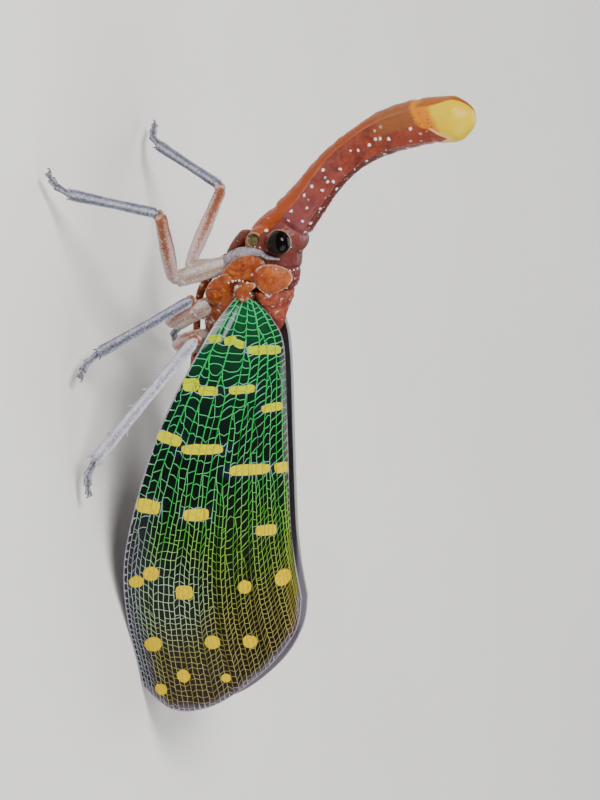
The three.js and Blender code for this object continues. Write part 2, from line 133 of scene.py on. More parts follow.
# Yellow marks of the forewing: distance back along the ridge, distance down the roof, length across the
# wing, width, lean in degrees, and whether the mark is a bar with square ends
WING_MARKS = [
    (-1.17, 5.5, 1.05, 0.62, 0, True),
    (-0.95, 4.25, 1.0, 0.66, 12, True),
    (-0.62, 3.55, 0.85, 0.62, -28, True),
    (-0.05, 1.6, 2.6, 0.72, -3, True),
    (2.35, 7.5, 1.25, 1.0, 0, True),
    (2.9, 6.15, 1.5, 0.74, -8, True),
    (2.95, 3.5, 2.0, 0.66, 2, True),
    (4.5, 1.15, 1.75, 0.66, 6, True),
    (6.5, 9.3, 1.95, 0.88, -22, True),
    (7.45, 6.8, 3.2, 0.8, -2, True),
    (9.28, 3.1, 3.2, 0.84, 0, True),
    (9.3, 0.6, 1.1, 0.84, 4, True),
    (11.8, 11.2, 1.8, 1.12, -12, True),
    (12.6, 7.47, 1.95, 0.96, 0, True),
    (14.16, 2.0, 1.62, 0.84, 0, True),
    (17.34, 11.1, 1.25, 1.2, 30, False),
    (18.03, 12.3, 1.2, 1.0, 20, False),
    (18.96, 8.54, 1.34, 1.14, 0, True),
    (18.64, 3.76, 1.05, 1.1, 0, False),
    (18.06, 0.75, 1.15, 1.4, -30, False),
    (23.47, 11.41, 1.58, 1.2, 20, False),
    (23.16, 6.44, 1.2, 1.14, 0, False),
    (23.13, 3.46, 1.12, 1.05, 0, False),
    (26.08, 9.04, 1.1, 1.06, 0, False),
    (26.13, 5.49, 0.78, 0.72, 0, False),
    (27.3, 11.12, 1.04, 0.96, 0, False),
]
# Two folds at the wing root that are white with wax: distance back and down, half length and half width,
# and lean in degrees
ROOT_FOLDS = (((-2.2, 4.3), (1.7, 0.2), -29), ((-1.9, 5.4), (1.9, 0.3), -38))
# The forewing's rib along its edge, and how high its main veins stand at the root
WING_EDGE_HALF_WIDTH = 0.15
MAIN_VEIN_HEIGHT = 0.12
# Columns and stations of the hindwing's net, and the heights and half widths of its veins
HINDWING_NET = (16, 48)
HINDWING_HEIGHTS = (0.05, 0.07)
HINDWING_HALF_WIDTHS = (0.04, 0.06, 0.08)
# How far the wings lie above the roof
FOREWING_LEVEL = 0.2
HINDWING_LEVEL = -1
# The wing's flat places in millimetres are divided by these and moved by a start to fit its UV map
WING_MAP = (40, 20)
MAP_START = 0.2
# Where the second and the odd columns of a net may begin, as shares of the wing's length
SECOND_STARTS = (0.2, 0.36)
THIRD_STARTS = (0.42, 0.68)
# Different bows for the cross veins of a lane, and the share of a cell that a rib may take up
BOWS = 5
CELL_SHARE = 0.42
# The cells are first inset by this, before their points move to where the ribs need them
FIRST_INSET = 0.025
# Rings of points round each cell, from the crest of a vein to the film, and the back of the wing
CREST, SHOULDER, FOOT, BACK = range(4)
CROSS_VEIN, MAIN_VEIN, WING_EDGE = range(3)

# The body and the head
SNOUT_LINE = [
    (-12.4, 0, 14.75),
    (-14.4, 0, 17),
    (-16.6, 0, 19.3),
    (-18.1, 0, 21.6),
    (-19.2, 0, 24.4),
    (-19.7, 0, 27.4),
    (-19.65, 0, 29.8),
    (-19.75, 0, 31.6),
]
SNOUT_HALF_WIDTH = (1.9, 1.5, 1.32, 1.28, 1.3, 1.42, 1.6, 1.58, 1.5)
SNOUT_HALF_DEPTH = (1.95, 1.68, 1.5, 1.46, 1.5, 1.72, 1.78, 1.74, 1.6)
# Angle of the snout's rear keel, in degrees forwards of the side, and how much of the snout's length the
# lobe below the bulb falls short for each degree beside it
REAR_KEEL = -54
LOBE_SLANT = 0.0022
CROWN_LINE = [(-8.9, 0, 13.9), (-11, 0, 14.2), (-13.3, 0, 14.9)]
NAPE_LINE = [(-13.2, 0, 15.96), (-12, 0, 14.9), (-10.8, 0, 13.84)]
FACE_LINE = [(-14.6, 0, 16.6), (-13.1, 0, 14.4), (-11.8, 0, 11.9)]
PRONOTUM_LINE = [(-9.1, 0, 10.3), (-9.15, 0, 13), (-9.35, 0, 15.75)]
MESONOTUM_LINE = [(-8.3, 0, 13.5), (-6.4, 0, 13.35), (-4.6, 0, 13.35)]
THORAX_LINE = [(-9.2, 0, 11.4), (-6, 0, 10.2), (-2.6, 0, 9.1)]
ABDOMEN_LINE = [(-3, 0, 8.8), (1.5, 0, 7.8), (7, 0, 7), (12.8, 0, 6.7)]
TAIL_LINE = [(11.6, 0, 6.75), (13.2, 0, 6.7), (14.8, 0, 6.6)]
CLYPEUS_LINE = [(-12.5, 0, 12.2), (-11.5, 0, 11), (-10.5, 0, 9.8)]
BEAK_LINE = [(-10.9, 0, 10.1), (-10, 0, 8.8), (-8, 0, 7.1), (-4, 0, 6.2), (0, 0, 5.2)]
# Forms of the body: the line through each, its half widths and half depths, the segments and rings of its
# mesh, and how blunt its ends are
BEAK_RADII = (0.36, 0.32, 0.28, 0.24)
BODY_FORMS = {
    "pronotum": (PRONOTUM_LINE, (2.4, 2.85, 2.85, 2.4, 1.5), (0.85, 1.1, 1.3, 1.5, 1.5), 72, 60, 7),
    "mesonotum": (MESONOTUM_LINE, (2.4, 2.3, 1.6, 0.9, 0.35), (1.45, 1.4, 1.05, 0.75, 0.4), 72, 60, 9),
    "thorax": (THORAX_LINE, (2.3, 2.75, 2.8, 2.6, 2.3), (2.2, 2.5, 2.45, 2.35, 2.1), 72, 60, 9),
    "abdomen": (ABDOMEN_LINE, (2.3, 2.7, 2.6, 2.1, 1.2), (2.1, 2.1, 1.8, 1.3, 0.8), 64, 120, 12),
    "clypeus": (CLYPEUS_LINE, (1.1, 0.95, 0.5), (0.75, 0.7, 0.4), 40, 30, 7),
    "beak": (BEAK_LINE, BEAK_RADII, BEAK_RADII, 24, 60, 30),
}
# Plates on the side of the thorax: centre, the way that the long axis runs, and half the length, half the
# width and the height of the dome
SIDE_PLATES = {
    "propleuron": ((-9.85, -2.25, 12.1), (-0.27, 0.1, 0.96), (1.85, 1.0, 0.5)),
    "mesopleuron": ((-8.45, -2.5, 10.1), (-0.6, 0, 0.75), (1.6, 0.95, 0.4)),
    "pronotal_lobe": ((-8.85, -2.05, 14.3), (0.1, 0.42, 0.9), (1.5, 1.15, 0.5)),
    "wing_hinge": ((-8.35, -2.85, 12.3), (-0.2, 0, 0.95), (0.85, 0.42, 0.36)),
}
# The far lobe of the pronotum lies flat, so that it stays within the outline of the neck
FAR_LOBE = ((-8.7, -1.6, 13.9), (1.0, 0.85, 0.3))
# A fold of pale cuticle that runs from the front coxa, over the side plate, to below the eye
CHEEK_FOLD = [
    (-9.96, -2.2, 10.44),
    (-10.6, -2.25, 10.77),
    (-10.92, -2.3, 11.4),
    (-11.1, -2.35, 12.5),
    (-10.98, -2.36, 13.59),
    (-10.56, -2.32, 14.26),
    (-10.28, -2.15, 15.17),
]
# The fold's half widths and half depths
CHEEK_HALF_SIZES = ((0.25, 0.34, 0.34, 0.3, 0.24, 0.14), (0.2, 0.4, 0.46, 0.34, 0.2, 0.08))
# Grains of wax in a row over the wing hinge: back along the body, and height
WAX_ROW = [(-8.87, 10.98), (-8.97, 11.35), (-8.99, 11.6), (-8.98, 11.9), (-8.9, 12.19)]
WAX_ROW += [(-8.74, 12.56), (-8.53, 12.85)]

# The joints of each leg from the body to the toe
LEGS = {
    "front_left": [
        (-10.4, -1.7, 10.9), (-9.45, -3, 6.3), (-14.9, -7.98, 8.16), (-17.16, -8.99, 0.95), (-19, -10.4, 0.26)
    ],
    "front_right": [
        (-9.5, 1.5, 10.6), (-10.05, 2.5, 5.2), (-16, 6.7, 7.05), (-19.96, 8.26, 0.95), (-21.6, 9.9, 0.26)
    ],
    "mid_left": [
        (-7.3, -1.9, 8.9), (-6.1, -3, 5.5), (-8.15, -7.3, 9.8), (-4.44, -7.26, 0.95), (-2.9, -9.1, 0.26)
    ],
    "mid_right": [(-7.3, 1.9, 8.9), (-6.3, 3, 5.5), (-8.8, 7.1, 9.6), (-4.9, 7.9, 0.95), (-3.2, 9.6, 0.26)],
    "hind_left": [
        (-4.6, -1.5, 8.4), (-4.3, -2.9, 5.9), (-5.2, -7.6, 9.9), (3.66, -9.97, 1), (6.2, -9.9, 0.26)
    ],
    "hind_right": [(-4.6, 1.5, 8.4), (-4.3, 2.9, 5.9), (-4.9, 7.6, 9.7), (4.3, 9.4, 1), (6.8, 9.9, 0.26)],
}
# Radii of the coxa, femur, tibia and tarsus, and how many spines the tibia bears
LEG_SIZES = {
    "front": (0.58, 0.56, 0.4, 0.34, 0),
    "mid": (0.6, 0.54, 0.42, 0.34, 0),
    "hind": (0.7, 0.58, 0.48, 0.36, 7),
}
# Spines of a hind shin: share of the way down, and whether it stands on the front or the rear edge
SPINES = ((0.3, 1), (0.43, 1), (0.56, 1), (0.7, -1), (0.78, 1), (0.94, -1), (0.96, 1))
SPURS = 6
SPINE_RADII = (0.17, 0.11, 0.04)
SPUR_RADII = (0.09, 0.06, 0.02)
CLAW_RADII = (0.11, 0.08, 0.03)
# Looks of the legs: dark and light cuticle, its wax, and the wax on the ridges, the colour of the grooves,
# which is painted shade and also shows where the wax thins, where the one gives way to the other, and how
# much the wax thins towards the foot
LEG_LOOKS = {
    "coxa": ("#b09484", "#d4c0b0", 0.45, "#e8dcd2", "#a8846c"),
    "femur": ("#8e4a26", "#ac7050", 0.2, "#d0b4b2", "#8a4a26", 0.5, 1.5),
    "tibia": ("#74768a", "#9a9cae", 0.2, "#cfd0e0", "#4c4e5c"),
    "hind_tibia": ("#a29eb0", "#c9c6d8", 0.5, "#e8e6f4", "#7c7a8c", 1.45),
    "tarsus": ("#5c5e66", "#9a98a4", 0.3, "#c5c3d0", "#50525e"),
}
# No point of a leg lies lower than this
FLOOR_GAP = 0.02

# The photo's camera: how far it looks down and turns, its roll, and the scale at the insect
LOOK_DOWN = math.radians(23)
LOOK_FROM_FRONT = math.radians(6)
CAMERA_ROLL = math.radians(86)
PIXELS_PER_MM = 12.5
IMAGE_SIZE = (600, 800)
FLOOR_PIXEL = 131
LENS_MM = 150
SENSOR_MM = 36
# Studio lights: size and power, and the distances towards the camera, to its right and up from the model
LIGHTS = ((0.12, 0.72, (200, 120, 120)), (0.3, 0.6, (120, 160, -220)), (0.25, 0.4, (-120, 260, 60)))


class LanternBugSizes(PropertyGroup):
    """Sizes that a user would change"""

    net_columns: IntProperty(name="Net columns", description="Lanes across the wing tip", default=40, min=8)
    net_stations: IntProperty(name="Net stations", description="Steps along the wing", default=150, min=20)
    vein_half_width: FloatProperty(
        name="Vein half width", description="Half the width of a cross vein", default=0.04 * MM, unit="LENGTH"
    )
    main_vein_half_width: FloatProperty(
        name="Main vein half width",
        description="Half the width at the root",
        default=0.085 * MM,
        unit="LENGTH",
    )
    vein_height: FloatProperty(
        name="Vein height", description="Height of a cross vein", default=0.06 * MM, unit="LENGTH"
    )
    membrane: FloatProperty(
        name="Membrane", description="Thickness of a wing between its veins", default=0.14 * MM, unit="LENGTH"
    )


def linear(hex_code):
    """An sRGB hex colour as linear red, green and blue"""
    values = [int(hex_code[i : i + 2], 16) / 255 for i in (1, 3, 5)]
    return tuple(v / 12.92 if v <= 0.04045 else ((v + 0.055) / 1.055) ** 2.4 for v in values)


def colour(name, text, hex_code):
    return FloatVectorProperty(name=name, description=text, subtype="COLOR", size=3, default=linear(hex_code))


class LanternBugColours(PropertyGroup):
    """Colours that a user would change"""

    emerald: colour("Emerald", "Main veins near the wing root", "#08bc52")
    mint: colour("Mint", "Cross veins near the wing root", "#40d080")
    leaf: colour("Leaf green", "Main veins half way along the wing", "#54b434")
    straw: colour("Straw", "Main veins near the wing tip", "#8c8a38")
    border: colour("Border", "Edge of the wing", "#948a96")
    cell: colour("Cell", "Membrane between the veins", "#030c07")
    mark: colour("Mark", "Bars and spots of the wing", "#e4c400")
    rust: colour("Rust", "Front of the snout", "#983c00")
    plum: colour("Plum", "Back of the snout and head", "#602620")
    lantern: colour("Lantern", "Tip of the snout", "#e0bc00")
    wax: colour("Wax", "Wax bloom and specks", "#efe9ec")


def sizes():
    return bpy.context.scene.lantern_bug_sizes


def colours():
    return bpy.context.scene.lantern_bug_colours


# Objects and edit mode


def start_piece(name):
    """Takes the new primitive as a piece, called by its name"""
    piece = bpy.context.object
    piece.name = name
    piece.data.name = name
    return piece


def deselect():
    bpy.ops.object.select_all(action="DESELECT")


def make_active(piece):
    deselect()
    piece.select_set(True)
    bpy.context.view_layer.objects.active = piece


def modify(piece, kind, **settings):
    """Adds a modifier and applies it"""
    make_active(piece)
    modifier = piece.modifiers.new(kind.title(), kind)
    for key, value in settings.items():
        setattr(modifier, key, value)
    bpy.ops.object.modifier_apply(modifier=modifier.name)


def face_out(piece):
    make_active(piece)
    bpy.ops.object.mode_set(mode="EDIT")
    bpy.ops.mesh.select_all(action="SELECT")
    bpy.ops.mesh.normals_make_consistent(inside=False)
    bpy.ops.object.mode_set(mode="OBJECT")


def join_pieces(name, pieces):
    deselect()
    for piece in pieces:
        piece.select_set(True)
    bpy.context.view_layer.objects.active = pieces[0]
    if len(pieces) > 1:
        bpy.ops.object.join()
    return start_piece(name)


def shade(piece, angle=None):
    make_active(piece)
    if angle is None:
        bpy.ops.object.shade_smooth()
    else:
        bpy.ops.object.shade_smooth_by_angle(angle=math.radians(angle))


def finish_piece(piece, material, slot, *nodes):
    """Gives a piece its material and its body, and hides the solids that it stands for. The slot is not used
    """
    piece.data.materials.clear()
    piece.data.materials.append(material)
    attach(piece, "root")
    if nodes:
        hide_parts(*nodes)


def vertex_places(piece):
    places = np.empty(len(piece.data.vertices) * 3)
    piece.data.vertices.foreach_get("co", places)
    return places.reshape(-1, 3)


def place_vertices(piece, places):
    piece.data.vertices.foreach_set("co", np.ascontiguousarray(places, dtype=float).ravel())
    piece.data.update()


def to_model(places_mm):
    """Places in millimetres before centring, as metres of the finished model"""
    return (np.asarray(places_mm, dtype=float) + SHIFT) * MM


def store_value(piece, name, values):
    layer = piece.data.attributes.new(name, "FLOAT", "POINT")
    layer.data.foreach_set("value", np.ascontiguousarray(values, dtype=np.float32))


def smooth_step(value, low, high):
    share = np.clip((np.asarray(value, dtype=float) - low) / (high - low), 0, 1)
    return share * share * (3 - 2 * share)


# Curves


def catmull_rom(points, place):
    """A point of the smooth line through the given points, at a place counted in points"""
    points = np.asarray(points, dtype=float)
    last = len(points) - 1
    place = np.clip(np.asarray(place, dtype=float), 0, last)
    index = np.minimum(place.astype(int), last - 1)
    part = (place - index)[..., None]
    p0, p1 = points[np.maximum(index - 1, 0)], points[index]
    p2, p3 = points[index + 1], points[np.minimum(index + 2, last)]
    p0 = np.where((index == 0)[..., None], p1, p0)
    v0, v1 = (p2 - p0) / 2, (p3 - p1) / 2
    cubic = (2 * p1 - 2 * p2 + v0 + v1) * part**3
    return cubic + (-3 * p1 + 3 * p2 - 2 * v0 - v1) * part**2 + v0 * part + p1


class Line:
    """A smooth line through a few points, followed at an even pace"""

    def __init__(self, points, steps=200):
        self.points = np.asarray(points, dtype=float)
        self.stops = np.linspace(0, len(self.points) - 1, steps + 1)
        samples = catmull_rom(self.points, self.stops)
        lengths = np.linalg.norm(np.diff(samples, axis=0), axis=1)
        self.travelled = np.concatenate([[0], np.cumsum(lengths)])
        self.length = self.travelled[-1]

    def at(self, share):
        place = np.interp(np.asarray(share, dtype=float) * self.length, self.travelled, self.stops)
        return catmull_rom(self.points, place)

    def heading(self, share):
        step = 1e-3
        before, after = (self.at(np.clip(np.asarray(share) + way, 0, 1)) for way in (-step, step))
        ahead = after - before
        return ahead / np.linalg.norm(ahead, axis=-1, keepdims=True)


def along(values, share):
    """A smooth value through a few values at even steps"""
    stops = np.asarray(values, dtype=float)[:, None]
    return catmull_rom(stops, np.asarray(share) * (len(values) - 1))[..., 0]


def swept_form(name, line, widths, depths, segments, rings, blunt=8, relief=None, across=(0, 1, 0)):
    """A ball drawn out along a line, with half widths and half depths along it.

    relief(angle, share) swells or pinches the surface. The share and the angle are kept as values on the
    points, so that a pattern can follow the form."""
    bpy.ops.mesh.primitive_uv_sphere_add(segments=segments, ring_count=rings, radius=1)
    piece = start_piece(name)
    ball = vertex_places(piece)
    share = np.clip((1 - ball[:, 2]) / 2, 0, 1)
    angle = np.arctan2(ball[:, 1], ball[:, 0])
    on_ring = np.hypot(ball[:, 0], ball[:, 1]) > 1e-6
    forward = line.heading(share)
    across = np.asarray(across, dtype=float)
    side = across - forward * (forward @ across)[:, None]
    side /= np.linalg.norm(side, axis=1, keepdims=True)
    up = np.cross(forward, side)
    taper = np.minimum(1, np.sqrt(blunt * share * (1 - share)))
    if relief is not None:
        taper = taper * relief(angle, share)
    wide = along(widths, share) * taper * on_ring
    deep = along(depths, share) * taper * on_ring
    places = line.at(share)
    places += side * (np.cos(angle) * wide)[:, None] + up * (np.sin(angle) * deep)[:, None]
    place_vertices(piece, to_model(places))
    store_value(piece, "share", share)
    store_value(piece, "ridge", np.cos(4 * angle))
    return piece

# Materials


def solid(value):
    """Red, green, blue and alpha of a hex code or of three linear values"""
    return (*(linear(value) if isinstance(value, str) else value), 1)


def add_node(material, kind, inputs=(), **settings):
    """Adds a node with its settings and the values or links of its inputs"""
    tree = material.node_tree
    node = tree.nodes.new(kind)
    for key, value in settings.items():
        setattr(node, key, value)
    for key, value in dict(inputs).items():
        if isinstance(value, bpy.types.NodeSocket):
            tree.links.new(value, node.inputs[key])
        else:
            node.inputs[key].default_value = value
    return node


def new_material(name, **surface):
    """A material with its shader, whose constant inputs are given by name"""
    material = bpy.data.materials.new(name)
    material.use_nodes = True
    shader = material.node_tree.nodes["Principled BSDF"]
    for key, value in surface.items():
        shader.inputs[key.replace("_", " ")].default_value = value
    return material, shader


def link(material, output, socket):
    material.node_tree.links.new(output, socket)


def calculate(material, operation, *inputs):
    return add_node(material, "ShaderNodeMath", enumerate(inputs), operation=operation).outputs[0]


def sum_of(material, first, factor, second):
    """first times factor plus second, each a socket or a number"""
    return calculate(material, "MULTIPLY_ADD", first, factor, second)


def product(material, first, second):
    return calculate(material, "MULTIPLY", first, second)


def vector(material, operation, *inputs, output="Vector"):
    node = add_node(material, "ShaderNodeVectorMath", enumerate(inputs), operation=operation)
    return node.outputs[output]


def between(material, value, low, high, top=1.0):
    """0 where a value is at low, and top where it is at high"""
    inputs = {"Value": value, "From Min": low, "From Max": high, "To Max": top}
    return add_node(material, "ShaderNodeMapRange", inputs).outputs[0]


def clouds(material, place, scale, detail, roughness=0.5, output="Fac"):
    inputs = {"Vector": place, "Scale": scale, "Detail": detail, "Roughness": roughness}
    return add_node(material, "ShaderNodeTexNoise", inputs).outputs[output]


def value_of(material, name):
    return add_node(material, "ShaderNodeAttribute", attribute_name=name).outputs["Fac"]


def ramp(material, value, *stops):
    """The colour at a value, between stops that each have a position and a colour"""
    node = add_node(material, "ShaderNodeValToRGB", {"Fac": value})
    elements = node.color_ramp.elements
    while len(elements) < len(stops):
        elements.new(0.5)
    for element, (position, paint) in zip(elements, stops):
        element.position, element.color = position, solid(paint)
    return node.outputs[0]


def mix(material, factor, first, second):
    """Blends two colours, each a socket, a hex code or three values"""
    inputs = {0: factor}
    for index, value in ((6, first), (7, second)):
        inputs[index] = value if isinstance(value, bpy.types.NodeSocket) else solid(value)
    return add_node(material, "ShaderNodeMix", inputs, data_type="RGBA").outputs[2]


def lay(material, base, *layers):
    """Lays colours over a base in turn: where each lies, the colour, and how much it hides if not all"""
    for where, paint, *share in layers:
        factor = product(material, where, share[0]) if share else where
        base = mix(material, factor, base, paint)
    return base


# Wings


def wing_point(edges, share, across):
    """A flat place on a wing: share 0 at the root and 1 at the tip, across 0 in front and 1 behind"""
    front, hind, tip = edges
    share, across = np.broadcast_arrays(np.asarray(share, float), np.asarray(across, float))
    part = across[..., None]
    chord = tip.at(0.0) * (1 - part) + tip.at(1.0) * part
    outer = (tip.at(across) - chord) * share[..., None]
    return front.at(share) * (1 - part) + hind.at(share) * part + outer


def roof_place(side, back, down, height):
    """Places on the folded wing from flat ones, height over the roof included"""
    slope = ROOF["slope"]
    (start, least), (end, most) = ROOF_PITCH.items()
    pitch = (least + (most - least) * smooth_step(back, start, end))[:, None]
    backwards = np.array([math.cos(slope), 0, -math.sin(slope)])
    beneath = np.array([-math.sin(slope), 0, -math.cos(slope)])
    downwards = beneath * np.sin(pitch) + np.array([0, side, 0]) * np.cos(pitch)
    outwards = np.cross(backwards, downwards) * side
    share = np.clip(down / ROOF_DEPTH, 0, 1)
    rise = (height + np.where(down < 0, 0, ROOF_BULGE * 4 * share * (1 - share)))[:, None]
    upright = np.clip(-down / 0.4, 0, 1)[:, None]
    normal = outwards * (1 - upright) + np.array([0, side, 0]) * upright
    normal /= np.linalg.norm(normal, axis=1, keepdims=True)
    place = np.array([ROOF["x"], side * ROOF["y"], ROOF["z"]]) + backwards * back[:, None]
    place = place + downwards * np.maximum(down, 0)[:, None]
    place[:, 2] += np.maximum(-down, 0)
    return place + normal * rise


class Net:
    """The veins of a wing as a lattice of lanes and stations, some of whose edges are kept.

    Every fourth column is a main vein. The columns between them leave their neighbour further out, the
    second ones before the odd ones, so that the net grows finer towards the tip."""

    def __init__(self, shape, veins, columns, stations, seed):
        self.random = random.Random(seed)
        self.edges = [Line(shape[name]) for name in ("front", "hind", "tip")]
        self.veins, self.columns, self.stations = veins, columns, stations
        self.per_vein = columns // (len(veins) - 1)
        every = range(columns + 1)
        self.starts = [self.column_start(column) for column in every]
        self.parents = [self.parent(column) for column in every]
        self.phase = [self.random.randrange(12) for _ in every]
        self.slant = [self.random.uniform(-1, 1) for _ in every]
        self.bow = {(c, k): self.random.uniform(-0.9, 0.9) for c in every for k in range(BOWS)}

    def column_start(self, column):
        """The station where a column begins"""
        vein, rest = divmod(column, self.per_vein)
        if rest == 0:
            return round(self.veins[vein][3] * self.stations)
        later = max(self.veins[vein][3], self.veins[vein + 1][3])
        window = SECOND_STARTS if rest * 2 == self.per_vein else THIRD_STARTS
        share = max(later + 0.05, self.random.uniform(*window))
        return round(share * self.stations)

    def present(self, column, station):
        return station >= self.starts[column]

    def parent(self, column):
        start = self.starts[column]
        older = [other for other in range(column) if self.starts[other] < start]
        return older[-1] if older else column

    def nominal(self, column, share):
        """How far across the wing a column would lie if it didn't start at its neighbour"""
        vein, rest = divmod(column, self.per_vein)
        after = min(vein + 1, len(self.veins) - 1)
        near, far = (np.interp(share, (0, 0.5, 1), self.veins[k][:3]) for k in (vein, after))
        return near + (far - near) * rest / self.per_vein

    def across(self, column, station):
        """How far across the wing a column lies: it parts from its neighbour over a few stations"""
        own = self.nominal(column, station / self.stations)
        start = self.starts[column]
        if start == 0 or column == self.parents[column]:
            return own
        parted = 0.12 + 0.88 * float(smooth_step(station - start, -1, 9))
        parent = self.across(self.parents[column], station)
        return parent + (own - parent) * parted

    def lane(self, column, station):
        """The two columns round the gap that follows a column"""
        left = max(c for c in range(column + 1) if self.present(c, station))
        right = min(c for c in range(column + 1, self.columns + 1) if self.present(c, station))
        return left, right

    def keeps_crossing(self, column, station):
        if station in (0, self.stations):
            return True
        left, right = self.lane(column, station)
        if self.starts[right] == station and self.parents[right] == left:
            return True
        share = station / self.stations
        if right - left > 2:
            period = 3
        else:
            period = 4 if share < 0.6 else 3 if share < 0.78 else 2
        return (station + self.phase[left]) % period == 0

    def flat_place(self, column, station):
        """Where a crossing of the net lies on the flat wing, slanted and shaken a little"""
        share, across = station / self.stations, self.across(column, station)
        if 0 < station < self.stations and 0 < column < self.columns:
            left, right = self.lane(column, station)
            present = self.present(column, station)
            if not present:
                span = (column - left) / (right - left)
                across = self.across(left, station) * (1 - span) + self.across(right, station) * span
                share += self.slant[left] * (span - 0.5) * 1.8 / self.stations
                share += self.bow[(left, station % BOWS)] * math.sin(math.pi * span) / self.stations
            elif self.keeps_crossing(column, station):
                share -= self.slant[column] * 0.9 / self.stations
            else:
                share += self.slant[self.lane(column - 1, station)[0]] * 0.9 / self.stations
            loose = 0.4 if present else 0.08
            share += self.random.uniform(-loose, loose) / self.stations
            main = column % self.per_vein == 0
            across += self.random.uniform(-0.1, 0.1) * (0.4 if main else 1) / self.columns
        return wing_point(self.edges, share, across)


def edit_mesh(piece, *names):
    """The mesh of a piece in edit mode, and its layers of whole numbers with these names"""
    mesh = bmesh.from_edit_mesh(piece.data)
    layers = mesh.verts.layers.int
    for name in names:
        if layers.get(name) is None:
            layers.new(name)
    return mesh, *(layers[name] for name in names)


def lay_net(net, name):
    """The cells of a wing's net as a flat mesh of one face for each cell, in millimetres"""
    columns, stations = net.columns, net.stations
    bpy.ops.mesh.primitive_grid_add(x_subdivisions=stations, y_subdivisions=columns, size=1)
    piece = start_piece(name)
    bpy.ops.object.mode_set(mode="EDIT")
    mesh, station_of, column_of = edit_mesh(piece, "station", "column")
    for vertex in mesh.verts:
        vertex[station_of] = round((vertex.co.x + 0.5) * stations)
        vertex[column_of] = round((vertex.co.y + 0.5) * columns)
    for edge in mesh.edges:
        (station, column), (end, _) = sorted((v[station_of], v[column_of]) for v in edge.verts)
        kept = net.keeps_crossing if station == end else net.present
        edge.select_set(not kept(column, station))
    bmesh.update_edit_mesh(piece.data)
    bpy.ops.mesh.dissolve_edges(use_verts=False)
    bpy.ops.mesh.select_all(action="DESELECT")
    bpy.ops.mesh.select_mode(type="VERT")
    mesh, station_of, column_of = edit_mesh(piece, "station", "column")
    for vertex in mesh.verts:
        station, column = vertex[station_of], vertex[column_of]
        inside = 0 < station < stations and 0 < column < columns
        vertex.select_set(len(vertex.link_edges) == 2 and inside and net.present(column, station))
    mesh.select_flush_mode()
    bmesh.update_edit_mesh(piece.data)
    bpy.ops.mesh.dissolve_verts()
    mesh, station_of, column_of = edit_mesh(piece, "station", "column")
    for vertex in mesh.verts:
        vertex.co = (*net.flat_place(vertex[column_of], vertex[station_of]), 0)
    bmesh.update_edit_mesh(piece.data)
    return piece


def raise_veins(piece, net, heights, widths, thickness):
    """Gives the net a back, then insets each cell twice, so that a rib stands between neighbouring cells.

    The heights are those of cross and main veins, the half widths those of cross and main veins and of the
    wing's edge."""
    bpy.ops.mesh.select_all(action="SELECT")
    bpy.ops.mesh.extrude_region()
    mesh, level_of = edit_mesh(piece, "level")
    for vertex in mesh.verts:
        if not vertex.select:
            vertex.co.z = -thickness
            vertex[level_of] = BACK
    bmesh.update_edit_mesh(piece.data)
    for level in (SHOULDER, FOOT):
        bpy.ops.mesh.inset(
            thickness=FIRST_INSET, use_individual=True, use_even_offset=False, use_relative_offset=False
        )
        mesh, level_of = edit_mesh(piece, "level")
        for face in mesh.faces:
            if face.select:
                for vertex in face.verts:
                    vertex[level_of] = level
        bmesh.update_edit_mesh(piece.data)
    mesh, level_of, station_of, column_of, rank_of = edit_mesh(piece, "level", "station", "column", "rank")
    outer_of, centres, moved = {}, {}, {}
    for face in mesh.faces:
        if all(vertex[level_of] == FOOT for vertex in face.verts):
            middle = face.calc_center_median()
            centres.update((vertex, middle) for vertex in face.verts)
    for edge in mesh.edges:
        low, high = sorted(edge.verts, key=lambda vertex: vertex[level_of])
        if low[level_of] < high[level_of]:
            outer_of[high] = low
    for foot, shoulder in outer_of.items():
        if foot[level_of] != FOOT or foot not in centres:
            continue
        crest = outer_of[shoulder]
        column, station = crest[column_of], crest[station_of]
        share = station / net.stations
        main = column % net.per_vein == 0 and net.present(column, station)
        edge = column in (0, net.columns) or station == net.stations
        for vertex in (foot, shoulder, crest):
            vertex[rank_of] = WING_EDGE if edge else MAIN_VEIN if main else CROSS_VEIN
        half, height = widths[0], heights[0]
        if main:
            half += (widths[1] - widths[0]) * (1 - smooth_step(share, 0.05, 0.7))
            height += (heights[1] - heights[0]) * (1 - smooth_step(share, 0.2, 1))
        if edge:
            half, height = widths[2], heights[1]
        inwards = foot.co - crest.co
        reach = min(half, CELL_SHARE * (centres[foot] - crest.co).length)
        inwards = inwards.normalized() * reach if inwards.length > 0 else inwards
        crest_place = crest.co.copy()
        moved[foot] = (crest_place + inwards, 0)
        moved[shoulder] = (crest_place + inwards * 0.55, height * 0.75)
        moved[crest] = (crest_place, max(height, moved.get(crest, (0, 0))[1]))
    for vertex, (place, height) in moved.items():
        vertex.co = (place.x, place.y, height)
    bmesh.update_edit_mesh(piece.data)
    bpy.ops.object.mode_set(mode="OBJECT")


def read_layer(piece, name):
    values = np.empty(len(piece.data.vertices), dtype=np.int32)
    piece.data.attributes[name].data.foreach_get("value", values)
    return values


